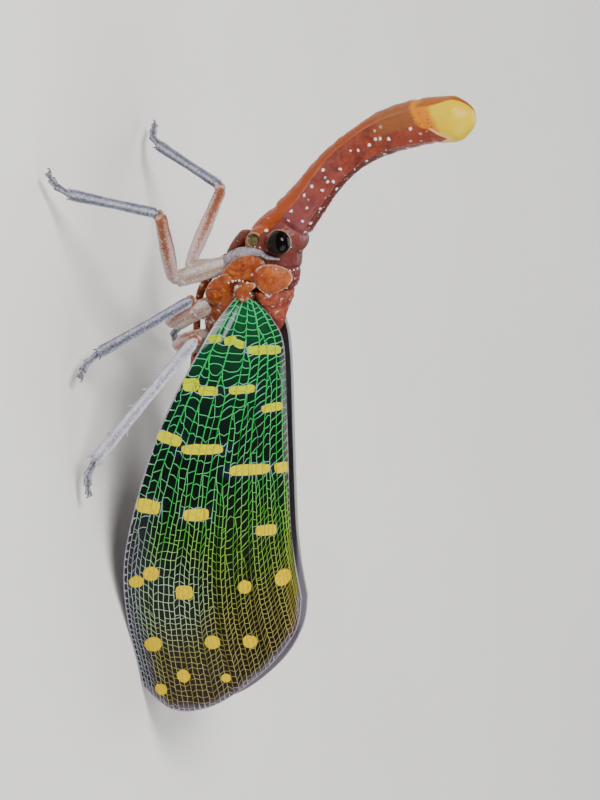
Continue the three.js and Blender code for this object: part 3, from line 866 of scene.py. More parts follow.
def fold_wing(piece, net, side, level):
    """Keeps the flat places as a UV map and values, then bends the net to the roof"""
    flat = vertex_places(piece)
    loops = np.empty(len(piece.data.loops), dtype=np.int32)
    piece.data.loops.foreach_get("vertex_index", loops)
    layer = piece.data.uv_layers.new(name="wing")
    layer.data.foreach_set("uv", np.stack(on_map(flat[:, 0], flat[:, 1])[:2], axis=1)[loops].ravel())
    levels, ranks, lanes = (read_layer(piece, name) for name in ("level", "rank", "column"))
    store_value(piece, "vein", levels < FOOT)
    store_value(piece, "under", levels == BACK)
    store_value(piece, "main_vein", ranks == MAIN_VEIN)
    store_value(piece, "border", ranks == WING_EDGE)
    store_value(piece, "lane", np.clip(lanes, 0, net.columns) / net.columns)
    reach = np.full(len(flat), np.inf)
    for x, y in net.edges[2].at(np.linspace(0, 1, 150)):
        reach = np.minimum(reach, np.hypot(flat[:, 0] - x, flat[:, 1] - y))
    store_value(piece, "tip_rim", 1 - smooth_step(reach, 0.22, 0.5))
    place_vertices(piece, to_model(roof_place(side, flat[:, 0], flat[:, 1], level + flat[:, 2])))
    face_out(piece)
    shade(piece, 50)


def on_map(back, down):
    """A flat place on a wing as a place on its UV map"""
    return (back / WING_MAP[0] + MAP_START, down / WING_MAP[1] + MAP_START, 0)


def distance_in(material, place, centre, radii, lean=0.0, square=False):
    """Distance from a spot on the wing in units of its radii; square gives the spot square ends"""
    scale = (radii[0] / WING_MAP[0], radii[1] / WING_MAP[1], 1)
    local = {"Vector": place, "Location": on_map(*centre), "Scale": scale}
    out = add_node(material, "ShaderNodeMapping", local, vector_type="TEXTURE").outputs[0]
    if lean:
        # The spot is turned at its true proportions and scaled back after that
        ratio = radii[1] / radii[0]
        turn = {"Vector": vector(material, "MULTIPLY", out, (1, ratio, 1)), "Angle": math.radians(lean)}
        out = add_node(material, "ShaderNodeVectorRotate", turn, rotation_type="Z_AXIS").outputs[0]
        out = vector(material, "MULTIPLY", out, (1, 1 / ratio, 1))
    if square:
        out = vector(material, "MULTIPLY", out, out)
    return vector(material, "LENGTH", out, output="Value")


def nearest_mark(material, place):
    """Distance from the nearest of the wing's yellow marks, 1 at its edge"""
    nearest = None
    for back, down, length, width, lean, square in WING_MARKS:
        reach = distance_in(material, place, (back, down), (width / 2, length / 2), lean, square)
        nearest = reach if nearest is None else calculate(material, "MINIMUM", nearest, reach)
    return nearest


def wing_material(name):
    """Forewing: a thin film of chitin over ribs of the same. The film is dark and slightly glossy, and the
    ribs run from emerald at the root through leaf green to straw at the tip"""
    palette = colours()
    material, shader = new_material(name, Roughness=0.4, IOR=1.5, Specular_IOR_Level=0.2)
    uv = add_node(material, "ShaderNodeUVMap", uv_map="wing").outputs["UV"]
    wobble = vector(material, "SUBTRACT", clouds(material, uv, 34.0, 2.0, output="Color"), (0.5, 0.5, 0.5))
    uneven = vector(material, "ADD", uv, vector(material, "MULTIPLY", wobble, (0.005, 0.011, 0)))
    nearest = nearest_mark(material, uneven)
    along_map, across_map, _ = add_node(material, "ShaderNodeSeparateXYZ", {0: uv}).outputs
    # How far out along the wing; the hind edge turns straw-coloured before the front one
    outwards = vector(material, "DOT_PRODUCT", uv, (1.0, -0.16, 0), output="Value")
    drift = sum_of(material, clouds(material, uv, 9.0, 3.0), 0.12, outwards)
    greens = ((0.12, "#48cc80"), (0.2, palette.emerald), (0.42, "#20c04c"), (0.56, palette.leaf))
    main_colour = ramp(material, drift, *greens, (0.7, palette.straw), (0.86, "#8a7c48"))
    greens = ((0.12, palette.mint), (0.42, "#5cd67c"), (0.56, "#8acc40"))
    cross_colour = ramp(material, drift, *greens, (0.7, "#a8a850"), (0.86, "#a09060"))
    greens = ((0.14, "#0a4a26"), (0.24, "#062016"), (0.38, palette.cell))
    film_colour = ramp(material, drift, *greens, (0.65, "#0a0b03"), (0.95, "#241a0c"))
    ridge_colour = ramp(material, drift, (0.3, "#6f7c74"), (0.46, "#5d5a48"), (0.56, "#553a16"))
    # The front margin is grey from half way out, and part of the tip is pale mint
    in_front = between(material, value_of(material, "lane"), 0.16, 0.08)
    costal = product(material, in_front, between(material, drift, 0.36, 0.5))
    pale_tip = between(material, distance_in(material, uneven, (19.5, 9.6), (5, 4)), 1.0, 0.3, 0.75)
    near_mark = product(material, between(material, nearest, 2.6, 1.2), between(material, drift, 0.62, 0.46))
    tip_rim = value_of(material, "tip_rim")
    # Along the ridge of the roof the film is grey, then brown
    near_ridge = between(material, across_map, 0.226, 0.212)
    along_ridge = product(material, near_ridge, between(material, along_map, 0.2, 0.24))
    # Two folds at the root are white with wax
    streaks = [between(material, distance_in(material, uneven, *fold), 1.1, 0.6, 0.85) for fold in ROOT_FOLDS]
    vein_colour = lay(
        material,
        mix(material, value_of(material, "main_vein"), cross_colour, main_colour),
        (costal, "#989ca2"),
        (pale_tip, "#b8dcbc"),
        (near_mark, "#a9c9dc", 0.6),
        (value_of(material, "border"), palette.border),
        (tip_rim, "#a59ca6"),
        *((streak, "#ccd4d2") for streak in streaks),
    )
    cell_colour = lay(
        material,
        film_colour,
        (near_mark, "#16222b", 0.8),
        (costal, "#26262b", 0.7),
        (tip_rim, "#6a606c", 0.85),
        (along_ridge, ridge_colour, 0.75),
        *((streak, "#8c9c98") for streak in streaks),
    )
    on_vein = between(material, value_of(material, "vein"), 0.15, 0.45)
    # Marks near the root are greener than those near the tip
    mark_colour = ramp(material, along_map, (0.15, "#b4cc08"), (0.42, "#d8cc00"), (0.62, palette.mark))
    surface = lay(
        material,
        mix(material, on_vein, cell_colour, vein_colour),
        (between(material, nearest, 1.06, 0.96), mark_colour),
        # The under side, which shows where the far wing stands out, is painted a light grey as painted fill
        # light, so that it reads mid-grey in its shadow
        (value_of(material, "under"), "#8e8892"),
    )
    link(material, surface, shader.inputs["Base Color"])
    gloss = add_node(material, "ShaderNodeMapRange", {"Value": on_vein, "To Min": 0.32, "To Max": 0.5})
    link(material, gloss.outputs[0], shader.inputs["Roughness"])
    return material


class LANTERNBUG_OT_forewings(Operator):
    """Nets of raised veins over a dark film, with yellow bars and spots"""

    bl_idname = "lantern_bug.forewings"
    bl_label = "Forewings"

    def execute(self, context):
        size = sizes()
        material = wing_material("forewing_chitin_film")
        widths = [size.vein_half_width / MM, size.main_vein_half_width / MM, WING_EDGE_HALF_WIDTH]
        heights = [size.vein_height / MM, MAIN_VEIN_HEIGHT]
        for name, side in SIDES.items():
            net = Net(FOREWING, FOREWING_VEINS, size.net_columns, size.net_stations, seed=7)
            piece = lay_net(net, f"tegmen_{name}_net")
            raise_veins(piece, net, heights, widths, size.membrane / MM)
            fold_wing(piece, net, side, FOREWING_LEVEL)
            finish_piece(piece, material, "forewing_membrane", f"tegmen_{name}")
        return {"FINISHED"}


class LANTERNBUG_OT_hindwings(Operator):
    """Dusky hindwings folded flat under the forewings"""

    bl_idname = "lantern_bug.hindwings"
    bl_label = "Hindwings"

    def execute(self, context):
        film, shader = new_material("hindwing_chitin_film", Roughness=0.4, IOR=1.5)
        tone = ramp(film, value_of(film, "vein"), (0.2, "#2c2a33"), (0.6, "#7d7468"))
        link(film, tone, shader.inputs["Base Color"])
        for name, side in SIDES.items():
            net = Net(HINDWING, HINDWING_VEINS, *HINDWING_NET, seed=11)
            piece = lay_net(net, f"hindwing_{name}_net")
            raise_veins(piece, net, HINDWING_HEIGHTS, HINDWING_HALF_WIDTHS, sizes().membrane / MM)
            fold_wing(piece, net, side, HINDWING_LEVEL)
            finish_piece(piece, film, "hindwing_membrane", f"hindwing_{name}")
        return {"FINISHED"}


# Body


def object_place(material, scale=1.0):
    """The place on the model, in units of the given share of a millimetre"""
    place = add_node(material, "ShaderNodeTexCoord").outputs["Object"]
    scaled = {0: place, "Scale": scale / MM}
    return add_node(material, "ShaderNodeVectorMath", scaled, operation="SCALE").outputs[0]


def specks(material, place, per_mm, radius, share):
    """White where a round grain of wax lies, black elsewhere: a share of the places carries one"""
    cells = add_node(material, "ShaderNodeTexVoronoi", {"Vector": place, "Scale": per_mm, "Randomness": 0.9})
    uneven = sum_of(material, clouds(material, place, 7.0, 1.0), 0.3, cells.outputs["Distance"])
    near = between(material, uneven, radius + 0.2, radius + 0.1)
    chance = add_node(material, "ShaderNodeSeparateColor", {"Color": cells.outputs["Color"]}).outputs[0]
    return product(material, near, calculate(material, "LESS_THAN", chance, share))


def cuticle(
    name,
    dark,
    light,
    wax=0.0,
    speck_share=0.0,
    roughness=0.45,
    tint=None,
    relief=0.35,
    grain=3.0,
    wax_grain=1.7,
):
    """Insect cuticle: a hard waxed skin that is mottled and pitted, with grains of wax on it.

    tint(material, base) can lay a pattern over the mottling."""
    material, shader = new_material(name, Roughness=roughness, IOR=1.5, Specular_IOR_Level=0.3)
    place = object_place(material)
    base = ramp(material, clouds(material, place, 1.1, 4.0, 0.65), (0.36, dark), (0.62, light))
    if tint is not None:
        base = tint(material, base)
    pits = add_node(material, "ShaderNodeTexVoronoi", {"Vector": place, "Scale": grain * 1.6})
    height = sum_of(material, pits.outputs["Distance"], 0.5, clouds(material, place, grain, 5.0, 0.6))
    covers = []
    if wax:
        bloom = clouds(material, place, wax_grain, 6.0, 0.72)
        covers.append((between(material, bloom, 0.66 - wax * 0.3, 0.76 - wax * 0.3), 0.4))
    if speck_share:
        covers.append((specks(material, place, 2.1, 0.16, speck_share), 0.9))
    for cover, rise in covers:
        base = mix(material, cover, base, colours().wax)
        height = sum_of(material, cover, rise, height)
    bump = {"Height": height, "Strength": relief, "Distance": 0.12 * MM}
    link(material, base, shader.inputs["Base Color"])
    link(material, add_node(material, "ShaderNodeBump", bump).outputs[0], shader.inputs["Normal"])
    return material


def snout_pattern(material, base):
    """Rust in front, brick red at the sides, plum behind, thin pale keels, and a yellow bulb whose foot is
    amber"""
    palette = colours()
    place = object_place(material)
    sway = calculate(material, "SUBTRACT", clouds(material, place, 2.6, 4.0), 0.5)

    def band(name, low, high, uneven):
        return between(material, sum_of(material, sway, uneven, value_of(material, name)), low, high)

    large, fine, flecks = (
        specks(material, place, *size) for size in ((1.6, 0.2, 0.75), (2.9, 0.14, 0.55), (3.4, 0.2, 0.5))
    )
    return lay(
        material,
        base,
        (band("share", 0.5, 0.1, 0.5), "#84464a", 0.6),
        (value_of(material, "skull"), "#5c2218", 0.8),
        (band("front", 0.35, 0.65, 0.9), palette.rust),
        (band("behind", 0.35, 0.65, 1.0), palette.plum),
        (large, palette.wax, band("speckled", 0.3, 0.6, 0.5)),
        (fine, palette.wax, band("behind", 0.1, 0.5, 0.4)),
        (fine, palette.wax, band("skull", 0.5, 0.9, 1.6)),
        (band("keel", 0.6, 0.95, 0.9), "#c9774a", 0.6),
        (band("swelling", 0.2, 0.9, 0.9), "#8e5020", 0.8),
        (band("lower_lobe", 0.4, 0.6, 0.3), "#8e3620", 0.6),
        (band("bulb", 0.1, 0.3, 0.2), mix(material, flecks, "#d07a04", "#702c04")),
        (band("bulb_body", 0.2, 0.8, 0.5), palette.lantern),
        (band("bulb_top", 0.3, 0.8, 0.7), "#a05400"),
        (band("wax_line", 0.4, 0.8, 0.6), "#dcb890", 0.8),
    )


def rimmed(rim_colour):
    """Lays painted shade in the creases, then a waxy edge and its beads, over a plate"""

    def tint(material, base):
        beads = specks(material, object_place(material), 3.2, 0.24, 0.85)
        edge = value_of(material, "rim")
        return lay(
            material,
            base,
            # Painted shade: a darker rust in the creases of the plate
            (value_of(material, "painted_crease_shade"), "#6c260c", 0.75),
            (edge, rim_colour, 0.4),
            (edge, colours().wax, beads),
        )

    return tint


def dark_back(material, base):
    """Lays a speckled maroon over the upper end of a swept plate"""
    place = object_place(material)
    upper = sum_of(material, clouds(material, place, 1.5, 3.0), 0.3, value_of(material, "share"))
    maroon = mix(material, specks(material, place, 2.8, 0.2, 0.8), "#661c16", colours().wax)
    return mix(material, between(material, upper, 0.92, 1.02), base, maroon)


def ridge_wax(wax, groove, middle=1.7, spread_along=0.0):
    """Wax along the ridges of a limb, and a darker colour in its grooves that is painted shade"""

    def tint(material, base):
        fine = clouds(material, object_place(material), 6.0, 4.0, 0.7)
        # Wax lies thickest on the ridges and towards the body
        ridge = product(material, value_of(material, "ridge"), 0.5)
        spread = sum_of(material, value_of(material, "share"), -spread_along, ridge)
        uneven = sum_of(material, fine, 3.4, spread)
        low, high = (between(material, uneven, middle, middle + way) for way in (-0.8, 0.8))
        # The groove colour is painted shade in the grooves; it also shows where the wax thins towards the
        # foot
        return lay(material, base, (low, groove), (high, wax))

    return tint


def ellipsoid(name, centre, radii, segments=32, rings=20):
    bpy.ops.mesh.primitive_uv_sphere_add(segments=segments, ring_count=rings, radius=1)
    piece = start_piece(name)
    place_vertices(piece, to_model(vertex_places(piece) * radii + centre))
    return piece


def swept_ring(name, centre, axis, radius, thickness, offset):
    """A thin ring round an axis, moved along it towards the head"""
    bpy.ops.mesh.primitive_torus_add(
        major_radius=radius, minor_radius=thickness, major_segments=48, minor_segments=14
    )
    piece = start_piece(name)
    axis = Vector(axis).normalized()
    turn = axis.to_track_quat("Z", "Y").to_matrix()
    places = vertex_places(piece) @ np.array(turn).T + centre - np.array(axis) * offset
    place_vertices(piece, to_model(places))
    return piece


def side_plate(part, name, side):
    """A low dome on the side of the thorax, creased and puckered, with its rim kept as a value, and its
    creases kept as a value for painted shade
    """
    centre, lengthwise, (length, width, height) = SIDE_PLATES[part]
    lobe = part == "pronotal_lobe"
    if lobe and side > 0:
        centre, (length, width, height) = FAR_LOBE
    bpy.ops.mesh.primitive_uv_sphere_add(segments=72, ring_count=48, radius=1)
    piece = start_piece(f"{part}_{name}")
    ball = vertex_places(piece)
    rim = np.hypot(ball[:, 0], ball[:, 1])
    spots = [Vector(spot) for spot in ball * (length, width, height)]
    creases = np.array([noise.noise(spot * 1.7 + Vector(centre)) for spot in spots])
    puckers = np.array([noise.noise(spot * 4.2 - Vector(centre)) for spot in spots])
    depth = 0.2 if lobe else 0.7
    swell = 1 + depth * np.abs(creases) + 0.12 * puckers
    forwards = np.array(lengthwise, dtype=float) / np.linalg.norm(lengthwise)
    out = np.array([0.1, -1, 0.25])
    out -= forwards * (out @ forwards)
    out /= np.linalg.norm(out)
    outline = 1 + 0.06 * np.sin(3 * np.arctan2(ball[:, 1], ball[:, 0]) + length * 9)
    places = np.array(centre, dtype=float) + np.outer(ball[:, 0] * outline * length, forwards)
    places += np.outer(ball[:, 1] * outline * width, np.cross(out, forwards))
    places += np.outer(ball[:, 2] * swell * height, out)
    places[:, 1] *= -side
    place_vertices(piece, to_model(places))
    store_value(piece, "rim", smooth_step(rim, 0.88, 0.99))
    # Where the creases lie, for the painted shade in them
    store_value(piece, "painted_crease_shade", depth * hump(creases, 0, 0.05))
    face_out(piece)
    return piece


def snout_places(places):
    """Share along the snout, angle forwards of its side in degrees, and the way out from its axis"""
    line = Line(SNOUT_LINE)
    shares = np.linspace(0, 1, 400)
    axis = line.at(shares)
    nearest = np.array([np.argmin(np.sum((axis - place) ** 2, axis=1)) for place in places])
    out = places - axis[nearest]
    heading = line.heading(shares[nearest])
    forwards = np.stack([-heading[:, 2], np.zeros(len(places)), heading[:, 0]], axis=1)
    angle = np.degrees(np.arctan2(np.sum(out * forwards, axis=1), np.abs(out[:, 1])))
    return shares[nearest], angle, out


def hump(value, centre, width):
    """1 at a centre, falling smoothly to 0 over a few widths"""
    return np.exp(-(((value - centre) / width) ** 2))


def noise_at(places, scale):
    return np.array([noise.noise(Vector(place) * scale) for place in places])


def head_skin():
    """Snout, crown, face, nape and cheeks in one smooth skin"""
    parts = [
        swept_form("snout", Line(SNOUT_LINE), SNOUT_HALF_WIDTH, SNOUT_HALF_DEPTH, 48, 120, blunt=14),
        swept_form("crown", Line(CROWN_LINE), (2, 2.1, 1.5), (1.85, 1.9, 1.6), 40, 30, 6),
        swept_form("face", Line(FACE_LINE), (1.2, 1.7, 1.1), (0.7, 1.1, 0.8), 40, 30, 6),
        swept_form("nape", Line(NAPE_LINE), (1.4, 2, 1.4), (1.3, 1.85, 1.3), 40, 30, 6),
    ]
    for side in SIDES.values():
        parts.append(ellipsoid("cheek", (-11.7, side * 1.5, 13.7), (1.3, 1.05, 1.5)))
        parts.append(ellipsoid("cheek_ridge", (-12.1, side * 2.0, 14.1), (0.5, 0.45, 0.55)))
    head = join_pieces("head_and_snout", parts)
    modify(head, "REMESH", mode="VOXEL", voxel_size=0.085 * MM, use_smooth_shade=True)
    modify(head, "SMOOTH", factor=0.5, iterations=6)
    tip = head.vertex_groups.new(name="tip")
    at_tip = snout_places(vertex_places(head) / MM - SHIFT)[0] > 0.86
    tip.add(np.flatnonzero(at_tip).tolist(), 1, "REPLACE")
    modify(head, "SMOOTH", factor=0.5, iterations=80, vertex_group="tip")
    return head


class LANTERNBUG_OT_head(Operator):
    """Head and snout in one skin, with keels, a swelling below the tip and a yellow bulb"""

    bl_idname = "lantern_bug.head"
    bl_label = "Head and Snout"

    def execute(self, context):
        head = head_skin()
        places = vertex_places(head) / MM - SHIFT
        share, angle, out = snout_places(places)
        on_snout = smooth_step(share, 0.02, 0.16)
        keel_angle = 13 + 21 * smooth_step(share, 0.05, 0.6)
        before_bulb = (1 - smooth_step(share, 0.7, 0.78)) * on_snout
        front_keel = hump(angle, keel_angle, 4) * before_bulb
        rear_keel = hump(angle, REAR_KEEL, 5) * before_bulb
        groove = hump(angle, keel_angle + 14, 8) * before_bulb
        side_hollow = hump(angle, -12, 18) * before_bulb
        bulb_start = 0.775 + 0.05 * smooth_step(-angle, -60, 60)
        bulb = smooth_step(share, bulb_start - 0.05, bulb_start + 0.05)
        waist = hump(share, bulb_start, 0.012)
        # The swelling ends below the bulb in a lobe that runs out to a point
        lobe_sides = smooth_step(angle, -80, -66) * (1 - smooth_step(angle, -26, -14))
        lobe_share = share + LOBE_SLANT * np.abs(angle - REAR_KEEL)
        lobe = lobe_sides * smooth_step(share, 0.6, 0.72) * (1 - smooth_step(lobe_share, 0.88, 0.92))
        rise = 0.1 * front_keel + 0.1 * rear_keel - 0.05 * groove - 0.07 * side_hollow
        rise += (0.06 * noise_at(places, 1.3) + 0.03 * noise_at(places, 4.0)) * (1 - bulb) - 0.07 * waist
        rise += 0.05 * lobe + 0.1 * bulb * smooth_step(share, 0.82, 0.92)
        direction = out / np.maximum(np.linalg.norm(out, axis=1, keepdims=True), 1e-6)
        place_vertices(head, to_model(places + direction * rise[:, None]))
        swelling = smooth_step(share, 0.52, 0.66) * (1 - smooth_step(share, 0.82, 0.88))
        side_specks = (1 - bulb) * (1 - smooth_step(angle, keel_angle - 14, keel_angle))
        top_angle = 34 + 30 * smooth_step(share, 0.8, 1)
        values = {
            "share": share,
            "skull": 1 - smooth_step(share, 0.01, 0.07),
            "front": smooth_step(angle, keel_angle - 4, keel_angle + 4),
            "behind": smooth_step(-angle, 50, 62) * on_snout,
            "speckled": side_specks * smooth_step(share, 0.04, 0.08),
            "keel": np.maximum(front_keel * (1 - smooth_step(share, 0.3, 0.5)), 0.6 * rear_keel),
            "swelling": swelling * smooth_step(angle, -20, 0),
            "lower_lobe": lobe,
            "wax_line": lobe_sides * hump(lobe_share, 0.905, 0.012),
            "bulb": bulb * (1 - lobe),
            "bulb_body": smooth_step(share, bulb_start + 0.02, bulb_start + 0.08) * (1 - lobe),
            "bulb_top": bulb * smooth_step(angle, top_angle, top_angle + 12),
        }
        for name, value in values.items():
            store_value(head, name, value)
        shade(head)
        material = cuticle(
            "waxed_cuticle_of_the_head", "#622012", "#903c24", roughness=0.34, tint=snout_pattern
        )
        finish_piece(head, material, "red_brown_cuticle", "head", "snout_lower", "snout_upper", "snout_tip")
        return {"FINISHED"}


def eye_cornea():
    """The dark glossy cornea of a compound eye, with fine facets and a brown crescent in front"""
    glass, shader = new_material("eye_cornea", Roughness=0.06, IOR=1.5, Specular_IOR_Level=0.14)
    place = object_place(glass)
    crescent = sum_of(glass, clouds(glass, place, 1.6, 3.0), 0.25, value_of(glass, "crescent"))
    tone = ramp(glass, crescent, (0.2, "#0b0504"), (0.6, "#2a120a"), (0.95, "#6a3c1c"))
    facets = add_node(glass, "ShaderNodeTexVoronoi", {"Vector": place, "Scale": 14.0})
    bump = {"Height": facets.outputs["Distance"], "Strength": 0.1, "Distance": 0.02 * MM}
    link(glass, tone, shader.inputs["Base Color"])
    link(glass, add_node(glass, "ShaderNodeBump", bump).outputs[0], shader.inputs["Normal"])
    return glass


class LANTERNBUG_OT_eyes(Operator):
    """Glossy compound eyes in pale rims, ocelli, and antennae with a round joint and a bristle"""

    bl_idname = "lantern_bug.eyes"
    bl_label = "Eyes and Antennae"

    def execute(self, context):
        glass = eye_cornea()
        rim = cuticle("eye_rim_cuticle", "#7c5c44", "#b9a08a", relief=0.2)
        pale = cuticle("ocellus_cornea", "#c9bfae", "#f3ece0", roughness=0.2, relief=0.1)
        knob = cuticle(
            "antenna_cuticle", "#2c2410", "#6a5a2c", speck_share=0.25, roughness=0.2, relief=0.5, grain=6.0
        )
        for name, side in SIDES.items():
            flip = np.array([1, -side, 1])
            eye_at = np.array(EYE_AT) * flip - (0, FAR_EYE_IN * (side > 0), 0)
            eye = ellipsoid(f"eye_{name}_cornea", eye_at, EYE_RADIUS * np.array([1, 0.9, 1]), 48, 32)
            offset = vertex_places(eye) / MM - SHIFT - eye_at
            lower_front = offset @ np.array([-0.5, 0, -0.85]) / EYE_RADIUS
            store_value(eye, "crescent", smooth_step(lower_front, 0.45, 0.8))
            ring = swept_ring(f"eye_{name}_rim", eye_at, (0.1, side, 0.05), 0.94, 0.055, 0.3)
            centre = np.array(ANTENNA_AT) * flip
            tip = centre + np.array([-0.9, side * 0.9, -0.5])
            bead = ellipsoid("bead", centre, (0.44, 0.44, 0.44), 32, 24)
            root = centre + (0.2, -0.75 * side, 0.25)
            stem = swept_form("stem", Line([root, centre]), (0.34, 0.42), (0.34, 0.42), 20, 12, 20)
            bend = [centre + (tip - centre) * part for part in (0.3, 0.65, 1)]
            taper = (0.08, 0.045, 0.02, 0.015)
            bristle = swept_form("bristle", Line(bend), taper, taper, 12, 16, 10)
            antenna = join_pieces(f"antenna_{name}_segments", [bead, stem, bristle])
            collar = swept_ring(f"antenna_{name}_collar", centre, (0.1, side, 0.1), 0.55, 0.09, 0.12)
            ocellus = ellipsoid(f"ocellus_{name}", np.array(OCELLUS_AT) * flip, (0.19, 0.19, 0.19), 20, 14)
            for piece, *look in (
                (eye, glass, "compound_eye", f"eye_{name}"),
                (ring, rim, "red_brown_cuticle"),
                (antenna, knob, "antenna_cuticle", f"antenna_{name}"),
                (collar, rim, "red_brown_cuticle"),
                (ocellus, pale, "red_brown_cuticle"),
            ):
                shade(piece)
                finish_piece(piece, *look)
        return {"FINISHED"}


def creased(angle, share):
    return 1 + 0.02 * np.sin(share * 40 + 3 * np.sin(angle * 2)) + 0.015 * np.sin(angle * 9 + share * 12)


def keeled(angle, share):
    """Creased, with a keel along the middle of the back"""
    return creased(angle, share) + 0.07 * hump(np.abs(angle), math.pi / 2, 0.12)


def ringed(_, share):
    """Seven overlapping rings along the form"""
    return 0.93 + 0.07 * ((share * 7) % 1) ** 2


def cheek_and_wax(name, side):
    """The band of pale cuticle from the front coxa to below the eye, and the row of wax grains behind it"""
    path = Line(np.array(CHEEK_FOLD) * (1, -side, 1))
    cheek = swept_form(f"cheek_fold_{name}", path, *CHEEK_HALF_SIZES, 32, 90, 40, creased)
    grains = [
        ellipsoid("grain", (x, side * 2.98, z), np.full(3, 0.07 + 0.03 * (i % 2)), 12, 8)
        for i, (x, z) in enumerate(WAX_ROW)
    ]
    return cheek, join_pieces(f"wax_row_{name}", grains)


class LANTERNBUG_OT_body(Operator):
    """Pronotum, mesonotum, thorax with its side plates, abdomen, mouthparts and wing scales"""

    bl_idname = "lantern_bug.body"
    bl_label = "Body"

    def execute(self, context):
        shell = cuticle(
            "pronotum_cuticle",
            "#7a300c",
            "#aa5a20",
            wax=0.2,
            speck_share=0.3,
            relief=0.7,
            tint=dark_back,
            grain=2.2,
        )
        back = cuticle("mesonotum_cuticle", "#6a1f18", "#a04626", wax=0.25, speck_share=0.95, relief=0.8)
        flank = cuticle("thorax_cuticle", "#6c2a0c", "#a04e1c", wax=0.4, speck_share=0.4, relief=0.7)
        under_head = cuticle("clypeus_cuticle", "#3c120a", "#6c2c12", wax=0.05, relief=0.5)
        belly = cuticle("abdomen_cuticle", "#3a2c22", "#8a7350", wax=0.35, relief=0.6)
        rims = rimmed("#e2c8b4")
        plate = cuticle(
            "side_plate_cuticle", "#86320c", "#ae5a1e", wax=0.12, roughness=0.36, relief=0.6, tint=rims
        )
        fold = cuticle("cheek_wax", "#6c6470", "#a0959f", wax=0.34, relief=0.8, wax_grain=4.0)
        bloom = cuticle("wax_grains", "#d8ccc8", "#f2ecec", roughness=0.6, relief=0.3)
        reliefs = {"pronotum": creased, "mesonotum": keeled, "thorax": creased, "abdomen": ringed}
        tail = swept_form("tail", Line(TAIL_LINE), (1, 0.8, 0.35), (0.75, 0.5, 0.25), 32, 24, 8)
        for name, material, slot in (
            ("pronotum_plate", shell, "red_brown_cuticle"),
            ("mesonotum_plate", back, "red_brown_cuticle"),
            ("thorax_sides", flank, "body_cuticle"),
            ("abdomen_rings", belly, "body_cuticle"),
            ("clypeus_plate", under_head, "red_brown_cuticle"),
            ("beak_tube", flank, "red_brown_cuticle"),
        ):
            node = name.split("_")[0]
            line, *shape = BODY_FORMS[node]
            piece = swept_form(name, Line(line), *shape, reliefs.get(node))
            if node == "abdomen":
                piece = join_pieces(name, [piece, tail])
            shade(piece, 60)
            finish_piece(piece, material, slot, node)
        for name, side in SIDES.items():
            scale = ellipsoid(f"tegula_{name}_scale", (-8.1, side * 2.85, 12), (0.85, 0.4, 0.7))
            looks = [(scale, flank, "waxed_cuticle", f"tegula_{name}")]
            looks += [(side_plate(part, name, side), plate, "red_brown_cuticle") for part in SIDE_PLATES]
            cheek, row = cheek_and_wax(name, side)
            looks += [(cheek, fold, "waxed_cuticle"), (row, bloom, "waxed_cuticle")]
            for piece, *look in looks:
                shade(piece)
                finish_piece(piece, *look)
        return {"FINISHED"}


# Legs


def limb(name, start, end, radius, girths, segments=28, rings=36, blunt=20, relief=None):
    """A stretch of a leg, whose radii are shares of the given one"""
    line = Line([start, (np.array(start) + np.array(end)) / 2, end])
    radii = np.array(girths) * radius
    return swept_form(name, line, radii, radii, segments, rings, blunt, relief, across=(0.3, 1, 0.2))


def ridged(angle, share):
    """Four rounded edges with shallow grooves between them, and a slightly uneven length"""
    return 1 + 0.09 * np.cos(4 * angle) + 0.02 * np.sin(share * 31 + angle)


def towards(start, end, distance):
    start, end = np.array(start, float), np.array(end, float)
    return start + (end - start) * distance / np.linalg.norm(end - start)


def unit(way):
    return way / np.linalg.norm(way)


def coxa_and_femur(root, trochanter, knee, ankle, coxa_r, femur_r):
    """The coxa with the ring of the trochanter, and the femur with its knob at the knee"""
    coxa_end, femur_end = towards(trochanter, root, 0.1), towards(knee, trochanter, 0.1)
    hinge = towards(trochanter, root, 0.5), towards(trochanter, knee, 0.5)
    bend = towards(knee, trochanter, 0.35), towards(knee, ankle, 0.3)
    coxa = [
        limb("coxa", root, coxa_end, coxa_r, (1.05, 1.25, 1.1), relief=ridged),
        limb("ring", *hinge, femur_r, (0.9, 1.0, 0.9), 24, 16, 8),
    ]
    femur = [
        limb("femur", trochanter, femur_end, femur_r, (0.75, 1, 1.05, 0.9, 0.85), relief=ridged),
        limb("knob", *bend, femur_r, (0.7, 0.85, 0.7), 24, 16, 8),
    ]
    return coxa, femur


def shin_bristles(knee, ankle, radius, spines):
    """Spines, of which most stand on the shin's front edge and two on its rear one, and spurs at its end"""
    outwards = unit(np.array([0, math.copysign(1, ankle[1]), 0.35]))
    lean = unit(ankle - knee)
    edge = np.cross((0, 1, 0), lean)
    bristles = []
    for share, way in SPINES[:spines]:
        base = knee + (ankle - knee) * share + edge * way * radius * 0.5
        tip = base + edge * way * radius * 1.1 + lean * 0.45
        bristles.append(limb("spine", base, tip, 1, SPINE_RADII, 12, 12, 10))
    for turn in np.linspace(0, 2 * math.pi, SPURS, endpoint=False):
        round_ankle = np.cross(lean, outwards) * math.cos(turn) + outwards * math.sin(turn)
        base = towards(ankle, knee, 0.35) + round_ankle * radius * 0.8
        tip = base + round_ankle * 0.18 + lean * 0.35
        bristles.append(limb("spur", base, tip, 1, SPUR_RADII, 8, 8, 10))
    return bristles


